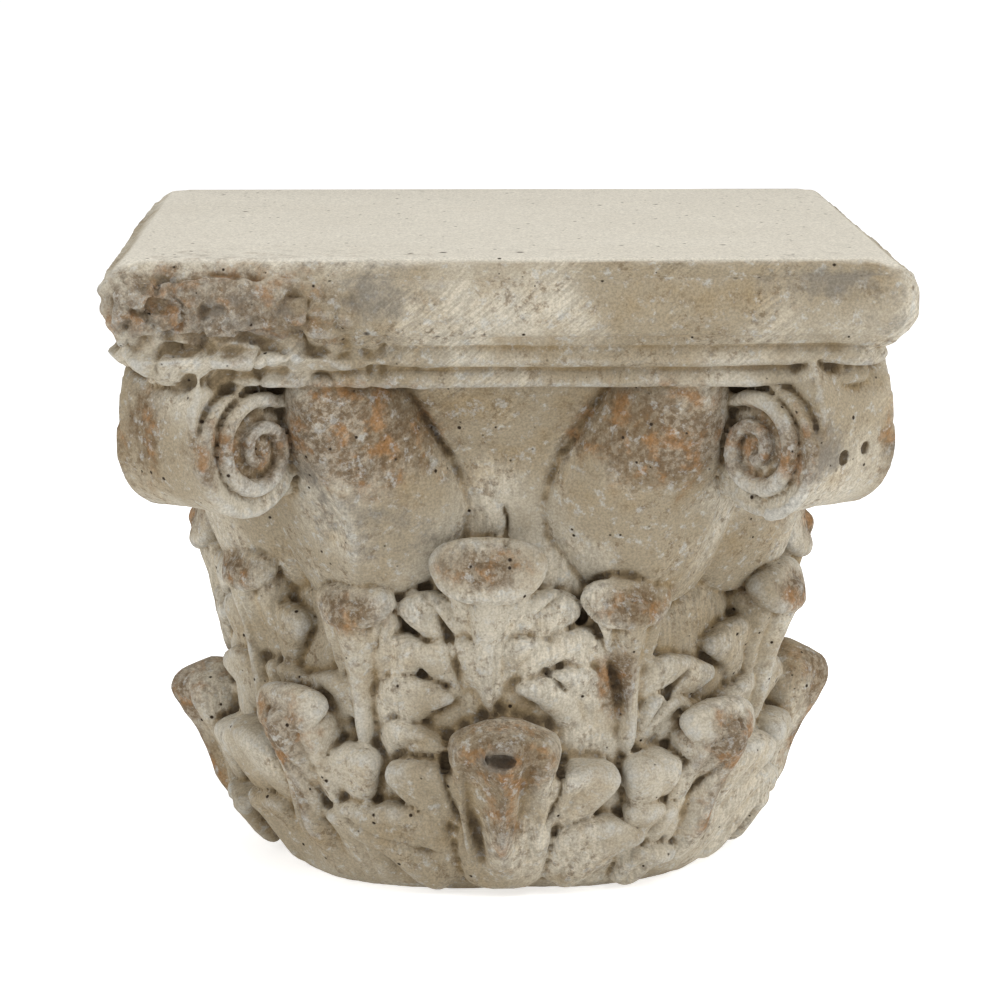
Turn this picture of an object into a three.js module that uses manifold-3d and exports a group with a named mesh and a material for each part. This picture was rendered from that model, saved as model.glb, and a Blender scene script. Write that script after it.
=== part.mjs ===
// A weathered cast-stone Corinthian capital, made in one casting: a thick square abacus, a round
// bell, four corner volutes carried on paired stems, and two rows of broad acanthus leaves.
// Millimetres, +Z up, the front face towards -Y, the origin under the middle of the foot.
import * as THREE from 'three';
import { mergeVertices } from 'three/addons/utils/BufferGeometryUtils.js';
import Module from 'manifold-3d';

const wasm = await Module();
wasm.setup();

// ---- driving dimensions ---------------------------------------------------------------------
const HEIGHT = 255;
const ABACUS_WIDTH = 302;
const ABACUS_THICKNESS = 34;
const ARRIS = 5;
const LOWER_WEAR = 5;
const TIER_WIDTH = 272;
const TIER_THICKNESS = 14.5;
const FOOT_RADIUS = 95;
const FOOT_SWELL = 3;
const FOOT_SWELL_HEIGHT = 30;
const BELL_RADIUS = 103;
const BELL_TOP_RADIUS = 126;
const VOLUTE_RADIUS = 25;
const VOLUTE_WIDTH = 50;
const VOLUTE_REACH = 159;
const VOLUTE_HEIGHT = 182;
const SPIRAL_BAR = 5;
const LEAF_RADIUS = 115;
const FACE_TURN = 90;

const ABACUS_BED = HEIGHT - ABACUS_THICKNESS;
const TIER_BED = ABACUS_BED - TIER_THICKNESS;

// ---- small helpers --------------------------------------------------------------------------
const radians = THREE.MathUtils.degToRad;
const mix = THREE.MathUtils.lerp;

/** A point on the round of the bell: degrees from the front towards +X, height and radius. */
function around(angle, height, radius) {
  return new THREE.Vector3(
    radius * Math.sin(radians(angle)), -radius * Math.cos(radians(angle)), height);
}

/** Moves every vertex of a geometry to what the given function returns for it. */
function reshape(geometry, move) {
  const place = geometry.attributes.position;
  const point = new THREE.Vector3();
  for (let i = 0; i < place.count; i += 1) {
    point.copy(move(point.fromBufferAttribute(place, i)));
    place.setXYZ(i, point.x, point.y, point.z);
  }
  return geometry;
}

/** A closed geometry as a solid that can be joined and cut. */
function solidOf(geometry) {
  const bare = geometry.clone();
  bare.deleteAttribute('normal');
  bare.deleteAttribute('uv');
  const closed = mergeVertices(bare, 1e-4);
  return new wasm.Manifold(new wasm.Mesh({
    numProp: 3,
    vertProperties: new Float32Array(closed.attributes.position.array),
    triVerts: new Uint32Array(closed.index.array),
  }));
}

/** A solid back as a three.js geometry. */
function geometryOf(solid) {
  const mesh = solid.getMesh();
  const geometry = new THREE.BufferGeometry();
  geometry.setAttribute('position', new THREE.BufferAttribute(mesh.vertProperties, mesh.numProp));
  geometry.setIndex(new THREE.BufferAttribute(mesh.triVerts, 1));
  return geometry;
}

/** A solid turned about the upright axis of the capital, in degrees. */
function turned(solid, angle) {
  return solid.rotate([0, 0, angle]);
}

// ---- bell -----------------------------------------------------------------------------------
/** The round bell: a rounded, slightly squared foot, a straight drum and a flare to the abacus. */
function bell() {
  const profile = [
    [0, 0], [FOOT_RADIUS - 7, 0], [FOOT_RADIUS, 4], [FOOT_RADIUS + 5, 12], [BELL_RADIUS, 26],
    [BELL_RADIUS, 110], [BELL_RADIUS + 2, 145], [BELL_RADIUS + 8, 178],
    [BELL_TOP_RADIUS, TIER_BED + 4], [0, TIER_BED + 4],
  ].map(([radius, height]) => new THREE.Vector2(radius, height));
  const round = new THREE.LatheGeometry(profile, 28).rotateX(Math.PI / 2);
  return solidOf(reshape(round, (point) => {
    const angle = Math.atan2(point.y, point.x);
    const low = Math.max(0, 1 - point.z / FOOT_SWELL_HEIGHT);
    const swell = 1 - FOOT_SWELL * low * Math.cos(4 * angle) / FOOT_RADIUS;
    return point.set(point.x * swell, point.y * swell, point.z);
  }));
}

// ---- abacus ---------------------------------------------------------------------------------
/** A square outline with cut and slightly rounded corners. */
function squareOutline(width, cut) {
  const half = width / 2;
  const outline = new THREE.Shape();
  for (let corner = 0; corner < 4; corner += 1) {
    const turn = radians(corner * FACE_TURN);
    const spin = (x, y) => new THREE.Vector2(x, y).rotateAround(new THREE.Vector2(), turn);
    const before = spin(half, half - cut);
    const tip = spin(half - cut * 0.12, half - cut * 0.12);
    const after = spin(half - cut, half);
    if (corner === 0) outline.moveTo(before.x, before.y);
    else outline.lineTo(before.x, before.y);
    outline.quadraticCurveTo(tip.x, tip.y, after.x, after.y);
  }
  outline.closePath();
  return outline;
}

/** A flat plate of that outline with worn arrises, its underside at the given height. */
function plate(width, thickness, cut, arris, bed) {
  const geometry = new THREE.ExtrudeGeometry(squareOutline(width - 2 * arris, cut), {
    depth: thickness - 2 * arris,
    curveSegments: 3,
    bevelEnabled: true,
    bevelSize: arris,
    bevelThickness: arris,
    bevelSegments: 2,
  });
  return geometry.translate(0, 0, bed + arris);
}

/** The slab, its lower arris worn back further than its upper one. */
function slab() {
  const geometry = plate(ABACUS_WIDTH, ABACUS_THICKNESS, 12, ARRIS, ABACUS_BED);
  const wornFrom = ABACUS_BED + 0.45 * ABACUS_THICKNESS;
  return solidOf(reshape(geometry, (point) => {
    const wear = Math.max(0, wornFrom - point.z) / (wornFrom - ABACUS_BED);
    const inset = 1 - (LOWER_WEAR * wear * wear) / (ABACUS_WIDTH / 2);
    return point.set(point.x * inset, point.y * inset, point.z);
  }));
}

/** The narrower tier under the slab. */
function tier() {
  return solidOf(plate(TIER_WIDTH, TIER_THICKNESS + 6, 13, 3, TIER_BED));
}

// ---- damage ---------------------------------------------------------------------------------
/** An uneven lump of stone: a coarse ball of the given half sizes, turned a little. */
function lump(place, halfSizes, turn) {
  const ball = new THREE.SphereGeometry(1, 7, 5);
  ball.scale(...halfSizes);
  ball.rotateZ(radians(turn));
  ball.rotateY(radians(turn / 2));
  return solidOf(ball.translate(...place));
}

/** What has broken off the slab's front left corner, to be cut from it. */
function brokenCorner() {
  const edge = ABACUS_WIDTH / 2;
  return wasm.Manifold.union([
    lump([-edge - 7, -edge - 7, HEIGHT + 2], [17, 17, 13], 20),
    lump([-edge + 62, -edge - 9, HEIGHT + 3], [46, 13, 10], -5),
    lump([-edge - 6, -edge - 6, ABACUS_BED + 2], [18, 14, 12], -15),
  ]);
}

/** The rough stone that hangs below the slab at the same corner. */
function hangingRubble() {
  const edge = ABACUS_WIDTH / 2;
  return wasm.Manifold.union([
    lump([-edge + 30, -edge + 16, ABACUS_BED - 2], [20, 14, 13], 12),
    lump([-edge + 70, -edge + 19, ABACUS_BED], [34, 13, 9], -6),
  ]);
}

// ---- volutes --------------------------------------------------------------------------------
/** A raised spiral on one end of a volute's roll, as a bar of small square section. */
function spiralBar() {
  const turns = 1.6;
  const steps = 11;
  const points = [];
  for (let i = 0; i <= steps; i += 1) {
    const along = i / steps;
    const angle = along * turns * 2 * Math.PI;
    const radius = mix(VOLUTE_RADIUS - 3, 5, along ** 0.85);
    points.push(new THREE.Vector3(radius * Math.cos(angle), radius * Math.sin(angle), 0));
  }
  const half = SPIRAL_BAR / 2;
  const section = new THREE.Shape();
  section.moveTo(-half, -half);
  section.lineTo(half, -half);
  section.lineTo(0, half);
  section.closePath();
  return new THREE.ExtrudeGeometry(section, {
    steps,
    bevelEnabled: false,
    extrudePath: new THREE.CatmullRomCurve3(points),
  });
}

/** The volute's side outline: reach from the axis and height, from the soffit round to the bell. */
function voluteOutline() {
  const outer = VOLUTE_REACH + VOLUTE_RADIUS;
  const outline = new THREE.Shape();
  outline.moveTo(BELL_RADIUS - 20, ABACUS_BED + 3);
  outline.lineTo(outer - 5, ABACUS_BED + 3);
  outline.quadraticCurveTo(outer + 2, VOLUTE_HEIGHT + 14, outer - 1, VOLUTE_HEIGHT);
  outline.lineTo(VOLUTE_REACH, VOLUTE_HEIGHT - 0.8 * VOLUTE_RADIUS);
  outline.lineTo(VOLUTE_REACH - 0.6 * VOLUTE_RADIUS, VOLUTE_HEIGHT - 0.5 * VOLUTE_RADIUS);
  outline.quadraticCurveTo(BELL_RADIUS + 22, VOLUTE_HEIGHT - 14, BELL_RADIUS, VOLUTE_HEIGHT - 58);
  outline.lineTo(BELL_RADIUS - 20, VOLUTE_HEIGHT - 58);
  outline.closePath();
  return outline;
}

/** The volute that stands under one corner, before it is turned there: its roll points to -Y. */
function volute() {
  const band = new THREE.ExtrudeGeometry(voluteOutline(), {
    depth: VOLUTE_WIDTH - 8,
    curveSegments: 5,
    bevelEnabled: false,
  });
  band.translate(0, 0, 4 - VOLUTE_WIDTH / 2);
  band.rotateX(Math.PI / 2).rotateZ(-Math.PI / 2);
  const roll = new THREE.CylinderGeometry(VOLUTE_RADIUS, VOLUTE_RADIUS, VOLUTE_WIDTH, 16, 1);
  roll.rotateZ(Math.PI / 2);
  roll.translate(0, -VOLUTE_REACH, VOLUTE_HEIGHT);
  const coreHeight = ABACUS_BED - VOLUTE_HEIGHT + 24;
  const core = new THREE.BoxGeometry(VOLUTE_WIDTH - 1, 72, coreHeight);
  core.translate(0, 36 - VOLUTE_REACH + 0.4 * VOLUTE_RADIUS, ABACUS_BED + 2 - coreHeight / 2);
  let solid = solidOf(band).add(solidOf(roll)).add(solidOf(core));
  for (const side of [-1, 1]) {
    const bar = spiralBar();
    bar.rotateY(side * Math.PI / 2);
    bar.rotateX(radians(70));
    bar.translate(side * VOLUTE_WIDTH / 2, -VOLUTE_REACH, VOLUTE_HEIGHT);
    solid = solid.add(solidOf(bar));
  }
  return solid;
}

// ---- stems ----------------------------------------------------------------------------------
// Height, middle of the width, half width, front and depth of a stem, for its right-hand copy.
const STEM_LEVELS = [
  [112, 48, 22, 104, 24],
  [134, 47, 38, 113, 28],
  [156, 48, 45, 121, 30],
  [182, 59, 41, 130, 32],
  [216, 68, 31, 136, 30],
];
const STEM_CREST = 0.3;

/** The stem on one side of a face: a broad horn that swells up to the volute. */
function stem(side) {
  const rings = STEM_LEVELS.length - 1;
  const geometry = new THREE.CylinderGeometry(1, 1, 1, 12, rings);
  geometry.rotateX(Math.PI / 2);
  return solidOf(reshape(geometry, (point) => {
    const level = STEM_LEVELS[Math.round((point.z + 0.5) * rings)];
    const [height, middle, half, front, depth] = level;
    const fromCrest = point.x * side - STEM_CREST;
    const fall = fromCrest > 0 ? 0.7 * fromCrest : -0.16 * fromCrest;
    return point.set(side * middle + half * point.x, -(front - depth - depth * (point.y + fall)), height);
  }));
}

// ---- leaves ---------------------------------------------------------------------------------
/**
 * One tongue of a leaf: a thick rounded lobe along a line given as [across, out, up] points, where
 * across is measured round the bell. Its two flutes leave a raised rib between them.
 */
function tongue(angle, line, width, thickness, { sides, stations, flute = 0 }) {
  const curve = new THREE.CatmullRomCurve3(line.map((place) => new THREE.Vector3(...place)));
  const knee = curve.points[line.length > 3 ? 2 : 1];
  const rise = new THREE.Vector3().subVectors(knee, curve.points[0]);
  const sideways = new THREE.Vector3(rise.z, 0, -rise.x).normalize();
  const geometry = new THREE.SphereGeometry(1, sides, stations);
  geometry.rotateX(Math.PI / 2);
  return solidOf(reshape(geometry, (point) => {
    const run = 1 - Math.acos(THREE.MathUtils.clamp(point.z, -1, 1)) / Math.PI;
    const girth = Math.hypot(point.x, point.y);
    const across = girth > 1e-6 ? point.x / girth : 0;
    const out = girth > 1e-6 ? -point.y / girth : 0;
    const swell = (1 - Math.abs(2 * run - 1) ** 5) ** 0.5;
    const groove = flute * Math.max(0, out) * Math.exp(-(((Math.abs(across) - 0.5) / 0.25) ** 2));
    const outward = new THREE.Vector3().crossVectors(curve.getTangent(run), sideways).normalize();
    const half = mix(width[0], width[1], Math.sin(run * Math.PI / 2)) / 2 * swell;
    const depth = mix(thickness[0], thickness[1], run) / 2 * swell;
    const place = curve.getPoint(run)
      .addScaledVector(sideways, half * across)
      .addScaledVector(outward, depth * out - groove * swell);
    return around(angle + THREE.MathUtils.radToDeg(place.x / LEAF_RADIUS), place.z, place.y);
  }));
}

/** A whole leaf: a fluted middle tongue that turns over at the top, and lobes on both sides. */
function leaf(pattern, angle, { rise = 0, swing = 0, plain = false } = {}) {
  const { foot, top, spread, turnover, width, thickness, lobes } = pattern;
  const crown = top.height + rise;
  const middle = [
    [-swing, foot.radius, foot.height],
    [-swing / 2, mix(foot.radius, top.radius, 0.6), mix(foot.height, crown, 0.35)],
    [0, mix(foot.radius, top.radius, 0.95), mix(foot.height, crown, 0.75)],
    [0, top.radius + 2, crown - 9],
    [0, top.radius + turnover, crown - 13],
    [0, top.radius + turnover + 3, crown - 23],
  ];
  const crownGrain = plain ? { sides: 6, stations: 7 } : { sides: 8, stations: 8, flute: 3.5 };
  const lobeGrain = plain ? { sides: 5, stations: 4 } : { sides: 6, stations: 5 };
  const pieces = [tongue(angle, middle, width, thickness, crownGrain)];
  for (const side of [-1, 1]) {
    for (const lobe of plain ? lobes.slice(0, 1) : lobes) {
      const [across, up, reach] = lobe.tip;
      const [start, within] = lobe.foot;
      const line = [
        [side * spread - swing, within, start],
        [side * mix(spread, across, 0.4), mix(within, reach, 0.65), mix(start, up, 0.6)],
        [side * across, reach, up + rise],
      ];
      pieces.push(tongue(angle, line, lobe.width, [16, 20], lobeGrain));
    }
  }
  return wasm.Manifold.union(pieces);
}

const LOWER_LEAF = {
  foot: { height: 4, radius: 92 },
  top: { height: 80, radius: 118 },
  spread: 12,
  turnover: 7,
  width: [42, 50],
  thickness: [18, 18],
  lobes: [
    { foot: [2, 89], tip: [40, 64, 114], width: [26, 29] },
    { foot: [6, 90], tip: [56, 36, 109], width: [20, 25] },
  ],
};

const UPPER_LEAF = {
  foot: { height: 40, radius: 97 },
  top: { height: 130, radius: 109 },
  spread: 7,
  turnover: 7,
  width: [22, 39],
  thickness: [15, 16],
  lobes: [
    { foot: [48, 97], tip: [25, 115, 108], width: [18, 24] },
    { foot: [44, 96], tip: [39, 94, 107], width: [18, 25] },
  ],
};

const MIDDLE_LEAF = {
  foot: { height: 58, radius: 97 },
  top: { height: 147, radius: 106 },
  spread: 8,
  turnover: 7,
  width: [24, 43],
  thickness: [15, 16],
  lobes: [
    { foot: [74, 97], tip: [31, 126, 106], width: [16, 20] },
  ],
};

// ---- assembly -------------------------------------------------------------------------------
/** Everything that stands on one of the four faces and on the corner to its right. */
function quarter(plain) {
  const pieces = [stem(-1), stem(1), turned(volute(), FACE_TURN / 2)];
  pieces.push(leaf(LOWER_LEAF, 0, { plain }), leaf(LOWER_LEAF, FACE_TURN / 2, { plain }));
  pieces.push(leaf(MIDDLE_LEAF, -3, { plain }), leaf(UPPER_LEAF, 26, { plain }));
  pieces.push(leaf(UPPER_LEAF, -28, { plain }));
  return wasm.Manifold.union(pieces);
}

function capital() {
  const faces = [0, 1, 2, 3].map((face) => turned(quarter(face !== 0), face * FACE_TURN));
  const whole = wasm.Manifold.union([
    bell(), slab().subtract(brokenCorner()), tier(), hangingRubble(), ...faces,
  ]);
  return geometryOf(whole);
}

const group = new THREE.Group();
const stone = new THREE.MeshStandardMaterial({ color: 0xb3a78f, roughness: 0.95, metalness: 0 });
const mesh = new THREE.Mesh(capital(), stone);
mesh.name = 'capital';
group.add(mesh);

export default group;
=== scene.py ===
"""A weathered cast-stone Corinthian capital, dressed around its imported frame.

The casting is built as a modeller builds it: separate forms for the slab, the bell, the stems, the
volutes and the leaves are pressed together into one skin, and that skin is then carved, worn, chipped
and painted. Lengths are in millimetres until the skin is finished, and the front faces towards -Y.
"""

import logging
import math
from collections.abc import Callable, Iterable, Sequence
from dataclasses import dataclass, field, replace
from enum import Enum

import bpy
import numpy as np
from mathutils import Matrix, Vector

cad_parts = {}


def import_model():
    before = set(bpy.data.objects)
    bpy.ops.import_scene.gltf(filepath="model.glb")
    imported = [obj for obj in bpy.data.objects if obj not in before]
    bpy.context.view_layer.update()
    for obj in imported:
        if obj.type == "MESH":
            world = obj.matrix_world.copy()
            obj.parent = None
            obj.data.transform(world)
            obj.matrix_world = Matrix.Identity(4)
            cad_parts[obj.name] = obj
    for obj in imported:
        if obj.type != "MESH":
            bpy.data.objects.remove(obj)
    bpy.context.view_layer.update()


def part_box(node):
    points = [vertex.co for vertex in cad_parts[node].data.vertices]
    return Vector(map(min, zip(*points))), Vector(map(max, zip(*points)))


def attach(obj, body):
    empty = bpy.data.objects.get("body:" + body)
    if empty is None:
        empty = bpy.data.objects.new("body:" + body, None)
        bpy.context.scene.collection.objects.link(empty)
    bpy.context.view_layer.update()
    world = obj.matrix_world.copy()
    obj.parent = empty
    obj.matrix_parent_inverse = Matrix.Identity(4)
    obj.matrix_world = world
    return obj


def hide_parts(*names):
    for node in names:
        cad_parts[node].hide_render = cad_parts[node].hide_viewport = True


LOG = logging.getLogger("capital")
MM = 0.001
FACE_TURN = 90.0
CORNER_TURN = 45.0

Points = np.ndarray
Line = Sequence[Sequence[float]]
Colour = tuple[float, float, float, float]
Socket = bpy.types.NodeSocket


# ---- shapes in numbers ------------------------------------------------------------------------
def polar(angle: Points, radius: Points, height: Points) -> Points:
    """Turns places round the bell into points.

    Args:
        angle: Degrees from the front towards +X.
        radius: Distance from the upright axis.
        height: Distance above the foot.

    Returns:
        One row of x, y and z for each place.
    """
    turn = np.radians(np.asarray(angle, float))
    reach = np.asarray(radius, float) + 0 * turn
    return np.stack([reach * np.sin(turn), -reach * np.cos(turn), height + 0 * turn], axis=-1)


def turned(points: Points, angle: float) -> Points:
    """Turns points about the upright axis.

    Args:
        points: Rows of x, y and z.
        angle: Degrees, from -Y towards +X.

    Returns:
        The turned points.
    """
    turn = math.radians(angle)
    spin = np.array([
        [math.cos(turn), math.sin(turn), 0.0],
        [-math.sin(turn), math.cos(turn), 0.0],
        [0.0, 0.0, 1.0],
    ])
    return points @ spin


def smooth_line(line: Line, run: Points) -> Points:
    """Follows a smooth curve through a few places.

    Args:
        line: The places, each with the same number of values.
        run: How far along the curve each answer lies, from 0 to 1.

    Returns:
        One row of values for each entry of run.
    """
    knots = np.asarray(line, float)
    padded = np.vstack([2 * knots[0] - knots[1], knots, 2 * knots[-1] - knots[-2]])
    spans = len(knots) - 1
    place = np.clip(run, 0.0, 1.0) * spans
    start = np.minimum(place.astype(int), spans - 1)
    part = (place - start)[:, None]
    before, near, far, after = (padded[start + step] for step in range(4))
    bend = 2 * before - 5 * near + 4 * far - after
    twist = -before + 3 * near - 3 * far + after
    return 0.5 * (2 * near + (far - before) * part + bend * part ** 2 + twist * part ** 3)


def unit(vectors: Points) -> Points:
    """Scales each row to length one."""
    length = np.linalg.norm(vectors, axis=-1, keepdims=True)
    return vectors / np.maximum(length, 1e-9)


def ease(low: float, high: float, value: Points) -> Points:
    """Rises smoothly from 0 at low to 1 at high."""
    part = np.clip((value - low) / (high - low), 0.0, 1.0)
    return part * part * (3 - 2 * part)


class Noise:
    """Smooth random unevenness in space, the same on every run."""

    def __init__(self, seed: int) -> None:
        """Fills the table of random values from a seed."""
        self.table = np.random.default_rng(seed).uniform(-1.0, 1.0, 4096)

    def __call__(self, points: Points, size: float) -> Points:
        """Reads the unevenness at some points.

        Args:
            points: Rows of x, y and z.
            size: The width of one bump.

        Returns:
            One value from -1 to 1 for each point.
        """
        place = points / size
        cell = np.floor(place).astype(np.int64)
        part = place - cell
        part = part * part * (3 - 2 * part)
        total = np.zeros(len(points))
        for corner in range(8):
            step = np.array([corner & 1, corner >> 1 & 1, corner >> 2 & 1])
            share = np.prod(np.where(step == 1, part, 1 - part), axis=1)
            key = (cell + step) @ np.array([73856093, 19349663, 83492791])
            total += share * self.table[(key ^ key >> 13) & 4095]
        return total


# ---- clay: the forms before they are pressed together -------------------------------------------
class Clay:
    """Collects the closed forms of the casting and presses them into one skin."""

    def __init__(self) -> None:
        """Starts with no forms."""
        self.forms: list[bpy.types.Object] = []

    @staticmethod
    def reshape(form: bpy.types.Object, move: Callable[[Points], Points]) -> None:
        """Moves every vertex of a form to what a function returns for it.

        Args:
            form: The form.
            move: Gives the new place of each vertex, in millimetres.
        """
        count = len(form.data.vertices)
        places = np.zeros(count * 3)
        form.data.vertices.foreach_get("co", places)
        moved = move(places.reshape(-1, 3)) * MM
        form.data.vertices.foreach_set("co", moved.ravel())
        form.data.update()

    def _keep(self, move: Callable[[Points], Points]) -> bpy.types.Object:
        """Reshapes the newest primitive and keeps it as a form.

        Args:
            move: Gives the new place of each vertex, in millimetres.

        Returns:
            The form.
        """
        form = bpy.context.object
        self.reshape(form, move)
        self.forms.append(form)
        return form

    def ball(self, move: Callable[[Points], Points], sides: int, rings: int) -> bpy.types.Object:
        """Adds a unit ball, poles up and down, shaped by a function.

        Args:
            move: Gives the new place of each vertex, in millimetres.
            sides: Number of sides round the ball.
            rings: Number of steps from pole to pole.

        Returns:
            The new form.
        """
        bpy.ops.object.select_all(action="DESELECT")
        bpy.ops.mesh.primitive_uv_sphere_add(segments=sides, ring_count=rings, radius=1.0)
        return self._keep(move)

    def plate(self, width: float, low: float, high: float, cut: float, arris: float) -> bpy.types.Object:
        """Adds a square plate with cut corners and rounded arrises.

        Args:
            width: Side of the square.
            low: Height of the underside.
            high: Height of the upper side.
            cut: How much is cut off each corner.
            arris: Radius of the long edges.

        Returns:
            The new form.
        """
        bpy.ops.object.select_all(action="DESELECT")
        bpy.ops.mesh.primitive_cube_add(size=1.0)
        form = bpy.context.object
        stretch = np.array([width, width, high - low])
        lift = np.array([0.0, 0.0, (low + high) / 2])
        self.reshape(form, lambda points: points * stretch + lift)
        bpy.ops.object.mode_set(mode="EDIT")
        self._select_uprights(form)
        bpy.ops.mesh.bevel(offset=cut * MM, segments=3, profile=0.45, affect="EDGES")
        bpy.ops.mesh.select_all(action="DESELECT")
        bpy.ops.object.mode_set(mode="OBJECT")
        self._select_caps(form)
        bpy.ops.object.mode_set(mode="EDIT")
        bpy.ops.mesh.region_to_loop()
        bpy.ops.mesh.bevel(offset=arris * MM, segments=4, profile=0.5, affect="EDGES")
        bpy.ops.object.mode_set(mode="OBJECT")
        self.forms.append(form)
        return form

    @staticmethod
    def _select_nothing(form: bpy.types.Object) -> None:
        """Clears what is selected on a form."""
        for part in (form.data.vertices, form.data.edges, form.data.polygons):
            part.foreach_set("select", [False] * len(part))

    def _select_uprights(self, form: bpy.types.Object) -> None:
        """Selects the edges that stand upright.

        Args:
            form: The form.
        """
        bpy.ops.object.mode_set(mode="OBJECT")
        self._select_nothing(form)
        places = [vertex.co for vertex in form.data.vertices]
        for edge in form.data.edges:
            rise = abs(places[edge.vertices[0]].z - places[edge.vertices[1]].z)
            edge.select = rise > MM
        bpy.ops.object.mode_set(mode="EDIT")
        bpy.ops.mesh.select_mode(type="EDGE")

    def _select_caps(self, form: bpy.types.Object) -> None:
        """Selects the underside and the upper side of a plate.

        Args:
            form: The form.
        """
        self._select_nothing(form)
        for face in form.data.polygons:
            face.select = abs(face.normal.z) > 0.9
        bpy.ops.object.mode_set(mode="EDIT")
        bpy.ops.mesh.select_mode(type="FACE")
        bpy.ops.object.mode_set(mode="OBJECT")

    def prism(self, outline: Points, half_width: float) -> bpy.types.Object:
        """Adds an outline in the Y-Z plane, drawn out to both sides along X.

        Args:
            outline: Rows of y and z, going round once.
            half_width: How far it reaches to each side.

        Returns:
            The new form.
        """
        bpy.ops.object.select_all(action="DESELECT")
        bpy.ops.mesh.primitive_circle_add(vertices=len(outline), radius=1.0, fill_type="NGON")
        form = bpy.context.object
        places = np.column_stack([np.full(len(outline), -half_width), outline])
        self.reshape(form, lambda points: places)
        bpy.ops.object.mode_set(mode="EDIT")
        bpy.ops.mesh.select_all(action="SELECT")
        bpy.ops.mesh.extrude_region_move(
            TRANSFORM_OT_translate={"value": (2 * half_width * MM, 0.0, 0.0)})
        bpy.ops.mesh.select_all(action="SELECT")
        bpy.ops.mesh.normals_make_consistent(inside=False)
        bpy.ops.object.mode_set(mode="OBJECT")
        self.forms.append(form)
        return form

    def copy_turned(self, forms: Iterable[bpy.types.Object], angle: float) -> None:
        """Copies forms, each with its own mesh, turned about the upright axis.

        Args:
            forms: The forms to copy.
            angle: Degrees, from -Y towards +X.
        """
        for form in list(forms):
            twin = form.copy()
            twin.data = form.data.copy()
            bpy.context.collection.objects.link(twin)
            self.reshape(twin, lambda points: turned(points, angle) / MM)
            self.forms.append(twin)

    def press(self, name: str, voxel: float) -> bpy.types.Object:
        """Joins all forms and gives them one closed skin.

        Args:
            name: The name of the new object.
            voxel: Size of the cells that the skin is drawn through.

        Returns:
            The object with the skin.
        """
        bpy.ops.object.select_all(action="DESELECT")
        for form in self.forms:
            form.select_set(True)
        whole = self.forms[0]
        bpy.context.view_layer.objects.active = whole
        bpy.ops.object.join()
        whole.name = name
        whole.data.name = name
        remesh = whole.modifiers.new("press", "REMESH")
        remesh.mode = "VOXEL"
        remesh.voxel_size = voxel * MM
        bpy.ops.object.modifier_apply(modifier=remesh.name)
        self.forms = [whole]
        return whole


# ---- sub-assemblies -------------------------------------------------------------------------------
@dataclass(frozen=True)
class Bell:
    """The round core: a rounded foot, a straight drum and a flare up to the tier."""

    foot_radius: float = 95.0
    drum_radius: float = 103.0
    top_radius: float = 126.0
    top: float = 210.5
    corner_swell: float = 4.0
    swell_top: float = 40.0

    def model(self, clay: Clay) -> None:
        """Adds the bell to the clay.

        Args:
            clay: Where the forms go.
        """
        profile = np.array([
            (0, 0), (self.foot_radius - 12, 0), (self.foot_radius - 7, 0), (self.foot_radius - 1, 4),
            (self.foot_radius + 6, 13), (self.drum_radius + 4.5, 26), (self.drum_radius + 8, 84),
            (self.drum_radius + 2, 145), (self.drum_radius + 8, 178), (self.top_radius, self.top),
            (0, self.top),
        ], float)

        def move(points: Points) -> Points:
            """Maps the ball's rings to the profile.

            Args:
                points: The vertices of the ball.

            Returns:
                Their new places.
            """
            run = 1 - np.arccos(np.clip(points[:, 2], -1, 1)) / math.pi
            knot = run * (len(profile) - 1)
            radius = np.interp(knot, np.arange(len(profile)), profile[:, 0])
            height = np.interp(knot, np.arange(len(profile)), profile[:, 1])
            angle = np.arctan2(points[:, 0], -points[:, 1])
            low = np.clip(1 - height / self.swell_top, 0, 1)
            radius = radius * (1 - self.corner_swell * low * np.cos(4 * angle) / self.foot_radius)
            return polar(np.degrees(angle), radius, height)

        clay.ball(move, 96, 6 * (len(profile) - 1))


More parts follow.
